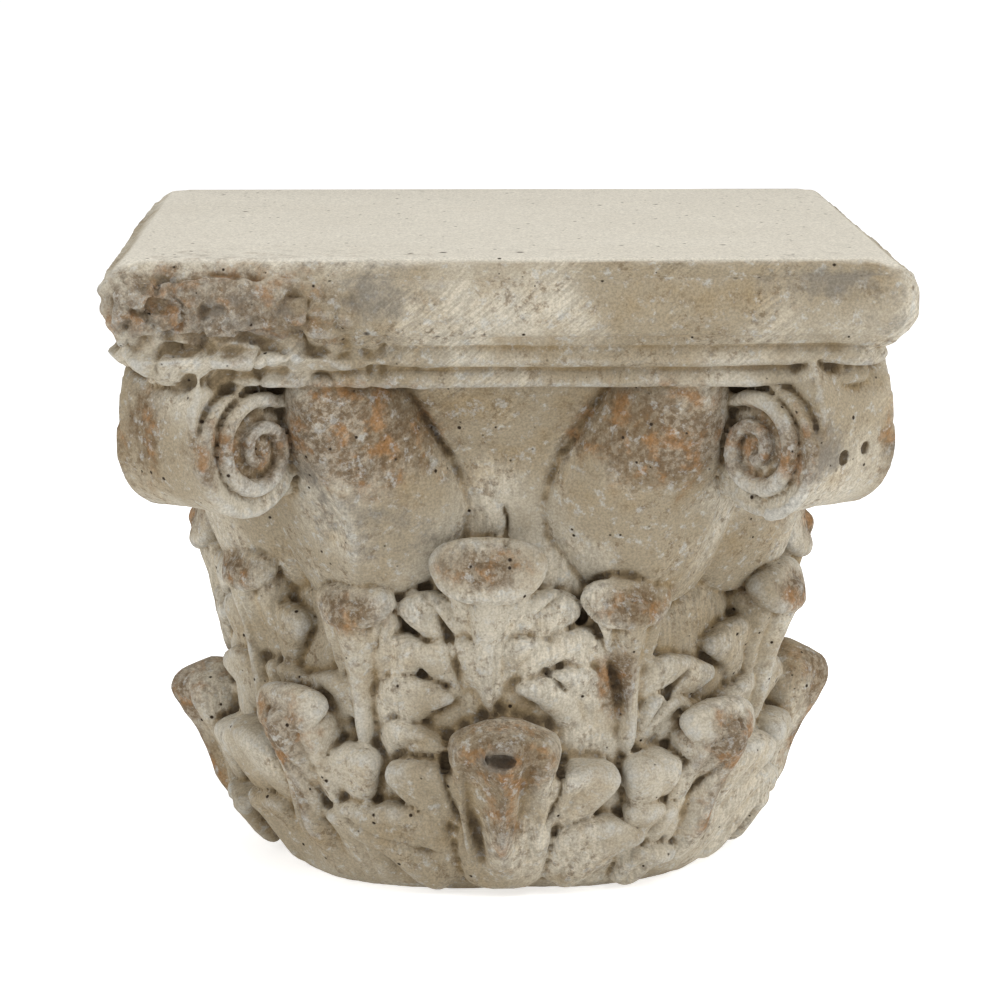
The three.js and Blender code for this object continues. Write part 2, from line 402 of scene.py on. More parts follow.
@dataclass(frozen=True)
class Abacus:
    """The thick slab, the narrower tier under it and the rough stone at the broken corner."""

    width: float
    top: float
    thickness: float = 34.0
    corner_cut: float = 12.0
    arris: float = 5.0
    tier_width: float = 272.0
    tier_bed: float = 206.5

    @property
    def bed(self) -> float:
        """Height of the slab's underside."""
        return self.top - self.thickness

    @property
    def half(self) -> float:
        """Half the slab's width."""
        return self.width / 2

    def model(self, clay: Clay) -> None:
        """Adds the slab, the tier, the fillet below and the hanging rubble to the clay.

        Args:
            clay: Where the forms go.
        """
        clay.plate(self.width, self.bed, self.top, self.corner_cut, self.arris)
        clay.plate(self.tier_width, self.tier_bed, self.bed + 6, 13, 3)
        clay.plate(self.tier_width + 11, self.tier_bed + 8, self.bed + 6, 13, 4)
        edge = -self.half
        self._lump(clay, (edge + 30, edge + 16, self.bed - 2), (20, 14, 13), 12)
        self._lump(clay, (edge + 47, edge + 15, self.bed - 1), (16, 12, 9), -20)
        self._lump(clay, (edge + 72, edge + 18, self.bed), (34, 13, 9), -6)
        self._lump(clay, (edge + 16, edge + 24, self.bed + 1), (12, 18, 11), 30)

    def rough_zone(self, points: Points) -> Points:
        """Gives how much each point belongs to the rough stone of the broken corner.

        Args:
            points: Rows of x, y and z.

        Returns:
            One value from 0 to 1 for each point.
        """
        half, bed, top = self.half, self.bed, self.top
        near_front = ease(-half + 34, -half + 14, points[:, 1])
        fade = ease(-38, -74, points[:, 0] + 0.9 * (points[:, 2] - bed - 14))
        band = ease(bed - 18, bed - 9, points[:, 2]) * ease(top - 1, top - 6, points[:, 2])
        return near_front * fade * band

    @staticmethod
    def _lump(clay: Clay, place: Sequence[float], halves: Sequence[float], turn: float) -> None:
        """Adds an uneven lump of stone.

        Args:
            clay: Where the forms go.
            place: Its middle.
            halves: Half its size along each axis.
            turn: Degrees that it is turned about the upright axis.
        """
        centre = np.asarray(place, float)
        unevenness = Noise(int(abs(turn)) + 3)

        def move(points: Points) -> Points:
            """Stretches the ball and dents it."""
            dented = points * (1 + 0.12 * unevenness(points, 0.7))[:, None]
            return turned(dented * np.asarray(halves), turn) + centre

        clay.ball(move, 20, 14)


@dataclass(frozen=True)
class Volute:
    """The scroll under one corner: a band that rolls over, with a raised spiral on each end."""

    radius: float = 25.0
    half_width: float = 24.5
    reach: float = 159.0
    height: float = 182.0
    bell_radius: float = 103.0
    soffit: float = 224.0
    band_half_width: float = 21.0
    boss_lift: float = 1.6
    boss_share: float = 0.6
    turns: float = 1.75
    coil_start: float = 160.0
    coil_edge: float = 3.2
    coil_eye: float = 3.0
    coil_halves: tuple[float, float] = (3.3, 2.0)
    coil_lifts: tuple[float, float] = (1.1, 2.8)
    coil_depth: float = 2.5

    def model(self, clay: Clay) -> None:
        """Adds the four volutes to the clay.

        Args:
            clay: Where the forms go.
        """
        first = len(clay.forms)
        clay.prism(self._outline(), self.band_half_width)
        self._roll(clay)
        self._core(clay)
        for side in (-1.0, 1.0):
            self._boss(clay, side)
            self._coil(clay, side)
        made = clay.forms[first:]
        for corner in range(1, 4):
            clay.copy_turned(made, CORNER_TURN + FACE_TURN * corner)
        for form in made:
            clay.reshape(form, lambda points: turned(points, CORNER_TURN) / MM)

    def _outline(self) -> Points:
        """Gives the band's side outline as rows of y and z, from the soffit round to the bell.

        Returns:
            Rows of y and z.
        """
        outer = self.reach + self.radius
        front = [(outer - 6, self.soffit), (outer + 1, self.height + 18), (outer, self.height)]
        under = [
            (self.reach - 15, self.height - 12), (self.bell_radius + 24, self.height - 16),
            (self.bell_radius + 8, self.height - 34), (self.bell_radius, self.height - 58),
        ]
        run = np.linspace(0, 1, 12)
        reach_up = np.vstack([
            [(self.bell_radius - 20, self.soffit)], smooth_line(front, run),
            [(self.reach, self.height - 20)], smooth_line(under, run),
            [(self.bell_radius - 20, self.height - 58)],
        ])
        return np.column_stack([-reach_up[:, 0], reach_up[:, 1]])

    def _roll(self, clay: Clay) -> None:
        """Adds the roll, its ends a little hollow inside the rim.

        Args:
            clay: Where the forms go.
        """
        profile = np.array([
            (-self.half_width, 0.0), (-self.half_width, 0.86), (-self.half_width - 0.5, 0.95),
            (-self.half_width + 1.5, 1.0), (0.0, 0.985), (self.half_width - 1.5, 1.0),
            (self.half_width + 0.5, 0.95), (self.half_width, 0.86), (self.half_width, 0.0),
        ])

        def move(points: Points) -> Points:
            """Maps the ball's rings to the roll's profile, laid along X.

            Args:
                points: The vertices of the ball.

            Returns:
                Their new places.
            """
            run = (1 - np.arccos(np.clip(points[:, 2], -1, 1)) / math.pi) * (len(profile) - 1)
            along = np.interp(run, np.arange(len(profile)), profile[:, 0])
            round_by = np.interp(run, np.arange(len(profile)), profile[:, 1]) * self.radius
            angle = np.arctan2(points[:, 1], points[:, 0])
            return np.column_stack([
                along, -self.reach + round_by * np.cos(angle), self.height + round_by * np.sin(angle)])

        clay.ball(move, 64, 8 * 5)

    def _core(self, clay: Clay) -> None:
        """Adds the stone between the roll, the bell and the soffit.

        Args:
            clay: Where the forms go.
        """
        low, high = self.height - 22, self.soffit - 1
        inner, outer = self.reach - 82, self.reach - 10

        def move(points: Points) -> Points:
            """Makes the ball a rounded block.

            Args:
                points: The vertices of the ball.

            Returns:
                Their new places.
            """
            block = np.sign(points) * np.abs(points) ** 0.35
            block = block / np.abs(block).max(axis=0)
            return np.column_stack([
                block[:, 0] * (self.half_width - 1.5),
                -(inner + outer) / 2 + block[:, 1] * (outer - inner) / 2,
                (low + high) / 2 + block[:, 2] * (high - low) / 2])

        clay.ball(move, 32, 24)

    def _boss(self, clay: Clay, side: float) -> None:
        """Adds the low dome that the spiral winds on.

        Args:
            clay: Where the forms go.
            side: -1 for one end of the roll, 1 for the other.
        """
        def move(points: Points) -> Points:
            """Flattens the ball against the roll's end.

            Args:
                points: The vertices of the ball.

            Returns:
                Their new places.
            """
            return np.column_stack([
                side * self.half_width + points[:, 0] * self.boss_lift,
                -self.reach + 2.0 + points[:, 1] * self.radius * self.boss_share,
                self.height + points[:, 2] * self.radius * self.boss_share])

        clay.ball(move, 32, 16)

    def _coil(self, clay: Clay, side: float) -> None:
        """Adds the raised spiral on one end of the roll.

        Args:
            clay: Where the forms go.
            side: -1 for one end of the roll, 1 for the other.
        """
        def move(points: Points) -> Points:
            """Draws the ball out along the spiral.

            Args:
                points: The vertices of the ball.

            Returns:
                Their new places.
            """
            run = 1 - np.arccos(np.clip(points[:, 2], -1, 1)) / math.pi
            girth = np.maximum(np.hypot(points[:, 0], points[:, 1]), 1e-6)
            across, out = points[:, 0] / girth, points[:, 1] / girth
            swell = (1 - np.abs(2 * run - 1) ** 10) ** 0.5
            angle = math.radians(self.coil_start) - run * self.turns * 2 * math.pi
            inward = run ** 0.9
            radius = (self.radius - self.coil_edge) * (1 - inward) + self.coil_eye * inward
            half = np.interp(run, (0, 1), self.coil_halves) * swell
            radius = radius + across * half
            lift = np.interp(run, (0, 1), self.coil_lifts) + out * self.coil_depth * swell
            return np.column_stack([
                side * (self.half_width + lift),
                -self.reach + 1.5 - radius * np.cos(angle),
                self.height + radius * np.sin(angle)])

        clay.ball(move, 10, 110)


@dataclass(frozen=True)
class Stem:
    """The broad horn that swells up each side of a face to carry the volute."""

    crest: float = 0.3
    levels: tuple[tuple[float, float, float, float, float], ...] = (
        (112, 48, 22, 104, 24),
        (134, 47, 38, 113, 28),
        (156, 48, 45, 121, 30),
        (182, 59, 41, 130, 32),
        (216, 68, 31, 136, 30),
    )

    def model(self, clay: Clay) -> None:
        """Adds the eight stems; each level gives height, middle, half width, front and depth.

        Args:
            clay: Where the forms go.
        """
        for face in range(4):
            for side in (-1.0, 1.0):
                self._horn(clay, side, face * FACE_TURN)

    def _horn(self, clay: Clay, side: float, turn: float) -> None:
        """Adds one stem.

        Args:
            clay: Where the form goes.
            side: -1 for the left of the face, 1 for the right.
            turn: Degrees that its face is turned from the front.
        """
        def move(points: Points) -> Points:
            """Draws the ball out along the levels, with a crest on its outer side.

            Args:
                points: The vertices of the ball.

            Returns:
                Their new places.
            """
            run = 1 - np.arccos(np.clip(points[:, 2], -1, 1)) / math.pi
            girth = np.maximum(np.hypot(points[:, 0], points[:, 1]), 1e-6)
            across, out = points[:, 0] / girth, points[:, 1] / girth
            swell = np.clip((1 - np.abs(2 * run - 1) ** 24), 0, 1) ** 0.5
            level = smooth_line(self.levels, run)
            height, middle, half, front, depth = level.T
            beside = across * side - self.crest
            fall = np.where(beside > 0, 0.7 * beside, -0.16 * beside)
            y = -(front - depth - depth * swell * (out + fall))
            return turned(np.column_stack([side * middle + half * across * swell, y, height]), turn)

        clay.ball(move, 48, 40)


@dataclass(frozen=True)
class Tongue:
    """A thick rounded lobe along a line of (degrees, radius, height) places."""

    line: Line
    width: tuple[float, float]
    thickness: tuple[float, float]
    flute: float
    flute_width: float = 0.22
    flatness: float = 0.55
    blunt: float = 5.0
    backing: float = 15.0

    def model(self, clay: Clay) -> None:
        """Adds the tongue to the clay.

        Args:
            clay: Where the forms go.
        """
        def move(points: Points) -> Points:
            """Draws the ball out along the line, with its flute on the outer side.

            Args:
                points: The vertices of the ball.

            Returns:
                Their new places.
            """
            run = 1 - np.arccos(np.clip(points[:, 2], -1, 1)) / math.pi
            girth = np.maximum(np.hypot(points[:, 0], points[:, 1]), 1e-6)
            across, out = points[:, 0] / girth, -points[:, 1] / girth
            swell = (1 - np.abs(2 * run - 1) ** self.blunt) ** 0.5
            place = self._middle(run)
            ahead = self._middle(np.minimum(run + 0.02, 1)) - self._middle(np.maximum(run - 0.02, 0))
            radial = unit(place * np.array([1.0, 1.0, 0.0]))
            sideways = unit(np.cross(self._rise(), radial))
            outward = unit(np.cross(unit(ahead), sideways))
            outward = outward * np.sign(np.sum(outward * self._front(), axis=1))[:, None]
            groove = self.flute * np.clip(out, 0, 1)
            groove = groove * np.exp(-(across / self.flute_width) ** 2)
            half = np.interp(np.sin(run * math.pi / 2), (0, 1), self.width) / 2 * swell
            depth = np.interp(run, (0, 1), self.thickness) / 2 * swell
            shift = sideways * (half * across)[:, None]
            round_out = np.abs(out) ** self.flatness
            depth = np.where(out > 0, depth * round_out, self.backing * swell * out)
            return place + shift + outward * (depth - groove * swell)[:, None]

        clay.ball(move, 22, 20)

    def _middle(self, run: Points) -> Points:
        """Gives points on the middle line."""
        angle, radius, height = smooth_line(self.line, run).T
        return polar(angle, radius, height)

    def _rise(self) -> Points:
        """Gives the direction from the root to the middle, which the width is square to."""
        ends = polar(*np.asarray(self.line[:2], float).T)
        return unit(ends[1] - ends[0])

    def _front(self) -> Points:
        """Gives the direction that the lower part of the tongue faces."""
        angle = np.mean([self.line[0][0], self.line[1][0]])
        return polar(np.array([angle]), 1.0, 0.0) + np.array([[0.0, 0.0, 0.45]])


@dataclass(frozen=True)
class Blade:
    """The middle of a leaf: a broad fluted face that swells out to a rolled-over top."""

    angle: float
    swing: float
    foot: float
    crown: float
    width: tuple[float, float]
    fronts: tuple[float, ...]
    flute: float
    back: float = 90.0
    flute_at: float = 0.44
    shoulder_drop: float = 5.0

    def model(self, clay: Clay) -> None:
        """Adds the blade to the clay; its fronts are its radii at even steps up from the foot.

        Args:
            clay: Where the forms go.
        """
        def move(points: Points) -> Points:
            """Spreads the ball over the face of the blade.

            Args:
                points: The vertices of the ball.

            Returns:
                Their new places.
            """
            run = 1 - np.arccos(np.clip(points[:, 2], -1, 1)) / math.pi
            girth = np.maximum(np.hypot(points[:, 0], points[:, 1]), 1e-6)
            across, out = points[:, 0] / girth, -points[:, 1] / girth
            swell = (1 - np.abs(2 * run - 1) ** 9) ** 0.5
            face = smooth_line([(front,) for front in self.fronts], run)[:, 0]
            bulge = np.clip(out, 0, 1) ** 0.5
            groove = np.exp(-((np.abs(across) - self.flute_at) / 0.17) ** 2)
            groove = groove - 0.5 * np.exp(-(across / 0.2) ** 2)
            groove = self.flute * bulge * groove * ease(0.03, 0.3, run) * ease(1.0, 0.8, run)
            radius = np.where(out > 0, self.back + (face - self.back) * bulge - groove, self.back + 8 * out)
            half = np.interp(run ** 0.8, (0, 1), self.width) / 2 * swell
            height = self.foot + run * (self.crown - self.foot)
            height = height - self.shoulder_drop * across ** 2 * ease(0.6, 1.0, run)
            angle = self.angle - self.swing * (1 - run) + np.degrees(half * across / face)
            return polar(angle, radius, height)

        clay.ball(move, 56, 48)


LOWER_FRONTS = (99, 104.5, 110.5, 115.5, 118, 121, 125, 130, 133.5, 131, 116)
UPPER_FRONTS = (105, 109, 112, 114, 115.5, 117, 119, 122, 125, 126, 115)


@dataclass(frozen=True)
class Lip:
    """The rolled-over end of a leaf: a broad nose with a rounded top and a blunt point below."""

    width: float
    drop: float
    stand: float = 5.5
    thickness: float = 11.0
    droop: float = 2.5
    curve: float = 2.5
    dish: float = 2.0
    backing: float = 12.0

    def model(self, clay: Clay, angle: float, radius: float, top: float) -> None:
        """Adds the lip to the clay.

        Args:
            clay: Where the form goes.
            angle: Degrees round the bell.
            radius: Distance of its middle from the axis.
            top: Height of its upper edge.
        """
        def move(points: Points) -> Points:
            """Shapes the ball as a heart that leans out at its lower end.

            Args:
                points: The vertices of the ball.

            Returns:
                Their new places.
            """
            across = np.sign(points[:, 0]) * np.abs(points[:, 0]) ** 0.8
            up = np.sign(points[:, 2]) * np.abs(points[:, 2]) ** 0.85
            dish = self.dish * np.exp(-((across / 0.5) ** 2 + (up / 0.5) ** 2)) * (points[:, 1] < 0)
            half = self.width / 2 * (1 + 0.3 * up)
            along = np.degrees(across * half / radius)
            height = top - self.drop / 2 + up * self.drop / 2 - self.droop * across ** 2
            depth = np.where(points[:, 1] > 0, self.backing, self.thickness / 2)
            reach = radius - points[:, 1] * depth - up * self.stand / 2
            reach = reach - self.curve * across ** 2 - dish
            return polar(angle + along, reach, height)

        clay.ball(move, 32, 24)


@dataclass(frozen=True)
class Lobe:
    """One side lobe of a leaf, from its root to its tip, both as degrees and height."""

    root: tuple[float, float]
    tip: tuple[float, float]
    width: tuple[float, float]
    reach: float
    root_radius: float
    thickness: tuple[float, float]
    flute: float


class Row(Enum):
    """The rows of leaves, from the foot up."""

    LOWER = "lower"
    UPPER = "upper"
    MIDDLE = "middle"


@dataclass(frozen=True)
class Leaf:
    """A whole leaf: a fluted middle blade that turns over at the top, and lobes on both sides."""

    row: Row
    angle: float
    crown: float
    lobes: tuple[Lobe, ...] = ()
    lip: Lip | None = None
    swing: float = 0.0
    width: tuple[float, float] = (40.0, 47.0)
    foot: float = 3.0
    fronts: tuple[float, ...] = LOWER_FRONTS
    proud: float = 0.0
    flute: float = 3.4
    lip_depth: float = 5.0
    tip_drop: float = 5.0

    def model(self, clay: Clay) -> None:
        """Adds the leaf to the clay.

        Args:
            clay: Where the forms go.
        """
        run = np.linspace(0, 1, len(self.fronts))
        fronts = tuple(np.asarray(self.fronts) + self.proud * run)
        Blade(self.angle, self.swing, self.foot, self.crown, self.width, fronts, self.flute).model(clay)
        if self.lip is not None:
            self.lip.model(clay, self.angle, fronts[-2] - self.lip_depth, self.crown + 1)
        for lobe in self.lobes:
            start, end = lobe.root, lobe.tip
            line = (
                (start[0], lobe.root_radius, start[1]),
                (start[0] + 0.4 * (end[0] - start[0]),
                 lobe.root_radius + 0.65 * (lobe.reach - lobe.root_radius),
                 start[1] + 0.6 * (end[1] - start[1])),
                (end[0], lobe.reach, end[1] - self.tip_drop),
            )
            Tongue(line, lobe.width, lobe.thickness, lobe.flute).model(clay)


def lower_leaf(angle: float, crown: float, lobes: tuple[Lobe, ...], **changes: object) -> Leaf:
    """Makes a leaf of the lower row.

    Args:
        angle: Degrees round the bell.
        crown: Height of its top.
        lobes: Its side lobes.
        changes: Any other field of a leaf.

    Returns:
        The leaf.
    """
    return replace(Leaf(Row.LOWER, angle, crown, lobes), **changes)


def upper_leaf(angle: float, crown: float, lobes: tuple[Lobe, ...], **changes: object) -> Leaf:
    """Makes a leaf of the upper row.

    Args:
        angle: Degrees round the bell.
        crown: Height of its top.
        lobes: Its side lobes.
        changes: Any other field of a leaf.

    Returns:
        The leaf.
    """
    leaf = Leaf(
        Row.UPPER, angle, crown, lobes, lip=Lip(37, 20), width=(9, 44), foot=46,
        fronts=UPPER_FRONTS, flute=2.6)
    return replace(leaf, **changes)


def middle_leaf(angle: float, crown: float, lobes: tuple[Lobe, ...], **changes: object) -> Leaf:
    """Makes the tall leaf in the middle of a face.

    Args:
        angle: Degrees round the bell.
        crown: Height of its top.
        lobes: Its side lobes.
        changes: Any other field of a leaf.

    Returns:
        The leaf.
    """
    leaf = Leaf(
        Row.MIDDLE, angle, crown, lobes, lip=Lip(43, 24), width=(10, 49),
        foot=60, fronts=UPPER_FRONTS, flute=2.2)
    return replace(leaf, **changes)


def low(root: tuple[float, float], tip: tuple[float, float], wide: float, reach: float) -> Lobe:
    """Makes a lobe of the lower row."""
    return Lobe(root, tip, (wide * 0.95, wide * 1.35), reach + 2.5, 92.0, (13.0, 13.0), 1.3)


def high(root: tuple[float, float], tip: tuple[float, float], wide: float) -> Lobe:
    """Makes a lobe of the upper row."""
    return Lobe(root, tip, (wide * 0.8, wide * 1.4), 112.0, 101.0, (12.5, 13.0), 1.2)


@dataclass
class Foliage:
    """All the leaves: those that face forward one by one, the others from the same patterns."""

    seed: int = 11
    leaves: list[Leaf] = field(default_factory=list)

    def __post_init__(self) -> None:
        """Lists every leaf."""
        self.leaves = [*self._front(), *self._sides(), *self._hidden()]

    @staticmethod
    def _front() -> list[Leaf]:
        """Gives the leaves of the front face and of its two corners.

        Returns:
            The leaves.
        """
        return [
            lower_leaf(-0.5, 78, (
                low((8, 10), (17.5, 61), 21, 115), low((11, 5), (25, 36), 20, 111),
                low((-9, 10), (-18.5, 63), 22, 115), low((-12, 5), (-30, 41), 24, 111),
            ), width=(38, 58)),
            lower_leaf(43, 76, (
                low((34, 8), (29.5, 62), 22, 116), low((30, 4), (30.5, 44), 18, 112),
                low((51, 8), (61, 60), 24, 116), low((54, 4), (70, 44), 22, 112),
                low((28, 3), (35, 24), 13, 107),
            ), width=(32, 40), swing=2.0, lip=Lip(36, 17)),
            lower_leaf(-43, 83, (
                low((-35, 10), (-31, 66), 20, 114), low((-30, 4), (-32, 43), 19, 112),
                low((-51, 8), (-62, 66), 24, 118), low((-54, 4), (-58, 40), 20, 110),
            ), width=(32, 38), swing=-3.0, lip=Lip(33, 18)),
            middle_leaf(-3.3, 145, (
                high((-6, 78), (-18.5, 128), 17), high((-5, 70), (-14.5, 111), 22),
                high((0, 76), (11, 129), 20), high((-1, 72), (8, 112), 20),
            ), swing=-0.5),
            upper_leaf(23.5, 129, (
                high((20, 66), (13.5, 116), 21), high((18, 62), (6.5, 98), 22),
                high((29, 62), (41, 98), 25), high((30, 56), (41, 82), 21),
            ), swing=-2.0),
            upper_leaf(-29.3, 126.5, (
                high((-27, 62), (-19.5, 112), 19), high((-26, 58), (-14, 94), 20),
                high((-24, 52), (-13, 73), 19), high((-31, 58), (-42, 92), 22),
            ), lip=Lip(31, 17)),
        ]

    @staticmethod
    def _sides() -> list[Leaf]:
        """Gives the leaves that shape the outline on the left and on the right.

        Returns:
            The leaves.
        """
        return [
            upper_leaf(-57.5, 136, (
                high((-55, 62), (-48.5, 118), 22), high((-55, 58), (-47, 94), 20),
                high((-60, 62), (-70, 116), 22), high((-61, 58), (-73, 92), 21),
            ), lip=Lip(34, 20)),
            upper_leaf(63.5, 124, (
                high((62, 64), (49, 108), 24), high((62, 58), (51, 82), 20),
                high((67, 64), (77, 106), 22), high((68, 58), (79, 84), 20),
            ), lip=Lip(36, 19), proud=4.0),
            lower_leaf(-89, 77, (
                low((-81, 8), (-73, 60), 22, 114), low((-97, 8), (-108, 60), 24, 114),
                low((-101, 4), (-117, 38), 22, 111), low((-79, 4), (-69, 34), 18, 110),
            ), width=(42, 46)),
            lower_leaf(91, 82, (
                low((83, 8), (75, 62), 22, 114), low((81, 4), (68, 36), 20, 110),
                low((99, 8), (108, 62), 22, 115), low((101, 4), (116, 38), 22, 111),
            ), width=(40, 47)),
        ]

    def _hidden(self) -> list[Leaf]:
        """Gives the other leaves, each a little different.

        Returns:
            The leaves.
        """
        chance = np.random.default_rng(self.seed)
        front_low, right_low, left_low, middle, right_high, left_high = self._front()
        places = (
            (middle, (86.7, 176.0, -93.5)), (right_high, (116.5, -154.0)), (left_high, (-118.0, 151.0)),
            (right_low, (134.0,)), (left_low, (-136.0,)), (front_low, (180.0,)),
        )
        return [self._varied(leaf, angle, chance) for leaf, angles in places for angle in angles]

    @staticmethod
    def _varied(leaf: Leaf, angle: float, chance: np.random.Generator) -> Leaf:
        """Moves a leaf to another place round the bell and changes it a little.

        Args:
            leaf: The leaf to start from.
            angle: Degrees round the bell for the new leaf.
            chance: Where the small changes come from.

        Returns:
            The new leaf.
        """
        turn = angle - leaf.angle
        rise = chance.uniform(-3.0, 2.0)

        def place(spot: tuple[float, float], play: float) -> tuple[float, float]:
            """Moves one end of a lobe."""
            shift = chance.uniform(-play, play, 2)
            return spot[0] + turn + shift[0], spot[1] + rise + shift[1]

        lobes = tuple(
            replace(lobe, root=place(lobe.root, 0.6), tip=place(lobe.tip, 1.8)) for lobe in leaf.lobes)
        return replace(leaf, angle=angle, crown=leaf.crown + rise, lobes=lobes)

    def model(self, clay: Clay) -> None:
        """Adds every leaf to the clay."""
        for leaf in self.leaves:
            leaf.model(clay)


# ---- the skin: carving, wear and what the finish follows --------------------------------------------
class Skin:
    """The closed skin of the casting, as arrays that can be carved."""

    def __init__(self, piece: bpy.types.Object) -> None:
        """Reads the skin.

        Args:
            piece: The object that holds it.
        """
        self.piece = piece
        mesh = piece.data
        self.count = len(mesh.vertices)
        places = np.zeros(self.count * 3)
        mesh.vertices.foreach_get("co", places)
        self.points = places.reshape(-1, 3) / MM
        ends = np.zeros(len(mesh.edges) * 2, dtype=np.int64)
        mesh.edges.foreach_get("vertices", ends)
        self.ends = ends.reshape(-1, 2)
        self.degree = np.bincount(self.ends.ravel(), minlength=self.count).astype(float)

    def write(self) -> None:
        """Puts the points back on the mesh."""
        self.piece.data.vertices.foreach_set("co", (self.points * MM).ravel())
        self.piece.data.update()

    def normals(self) -> Points:
        """Gives the outward direction at each point.

        Returns:
            One row for each point.
        """
        self.write()
        values = np.zeros(self.count * 3)
        self.piece.data.vertices.foreach_get("normal", values)
        return values.reshape(-1, 3)

    def spread(self, values: Points, rounds: int) -> Points:
        """Evens values out over the skin.

        Args:
            values: One value, or one row, for each point.
            rounds: How many times each takes the mean of its neighbours.

        Returns:
            The evened values.
        """
        first, second = self.ends.T
        rows = values.reshape(self.count, -1)
        for _ in range(rounds):
            rows = np.column_stack([
                (np.bincount(first, column[second], self.count)
                 + np.bincount(second, column[first], self.count) + column) / (self.degree + 1)
                for column in rows.T])
        return rows.reshape(values.shape)

    def smooth(self, rounds: int) -> None:
        """Smooths the skin."""
        self.points = self.spread(self.points, rounds)

    def hollowness(self, rounds: int) -> Points:
        """Measures how hollow the skin is at each point.

        Args:
            rounds: How wide a stretch is looked at.

        Returns:
            Millimetres that each point lies below the smoothed skin, less than zero on a crest.
        """
        lift = self.spread(self.points, rounds) - self.points
        return np.sum(lift * self.normals(), axis=1)

    def push(self, depth: Points) -> None:
        """Moves points into the stone by the given depths."""
        self.points = self.points - self.normals() * depth[:, None]


class Ground(Enum):
    """What a stroke is drawn on."""

    BELL = "degrees round the bell, and height"
    SLAB = "millimetres across the face, and height"


@dataclass(frozen=True)
class Stroke:
    """One cut of the tool, or a raised line where its depth is below zero."""

    line: tuple[tuple[float, float], ...]
    width: float
    depth: float
    ground: Ground = Ground.BELL
    taper: float = 0.5

    def depths(self, across: Points, height: Points, scale: Points) -> Points:
        """Gives the depth of the stroke at each point.

        Args:
            across: Degrees or millimetres across.
            height: Height of each point.
            scale: Millimetres for one unit of across.

        Returns:
            The depths.
        """
        total = np.zeros(len(across))
        spans = len(self.line) - 1
        for number in range(spans):
            (x0, z0), (x1, z1) = self.line[number], self.line[number + 1]
            dx, dz = (x1 - x0) * scale, z1 - z0
            px, pz = (across - x0) * scale, height - z0
            run = np.clip((px * dx + pz * dz) / np.maximum(dx * dx + dz * dz, 1e-6), 0, 1)
            away = np.hypot(px - run * dx, pz - run * dz)
            whole = (number + run) / spans
            fade = 1 - self.taper * np.abs(2 * whole - 1) ** 3
            total = np.maximum(total, np.exp(-(away / (0.5 * self.width)) ** 2) * fade)
        return total * self.depth


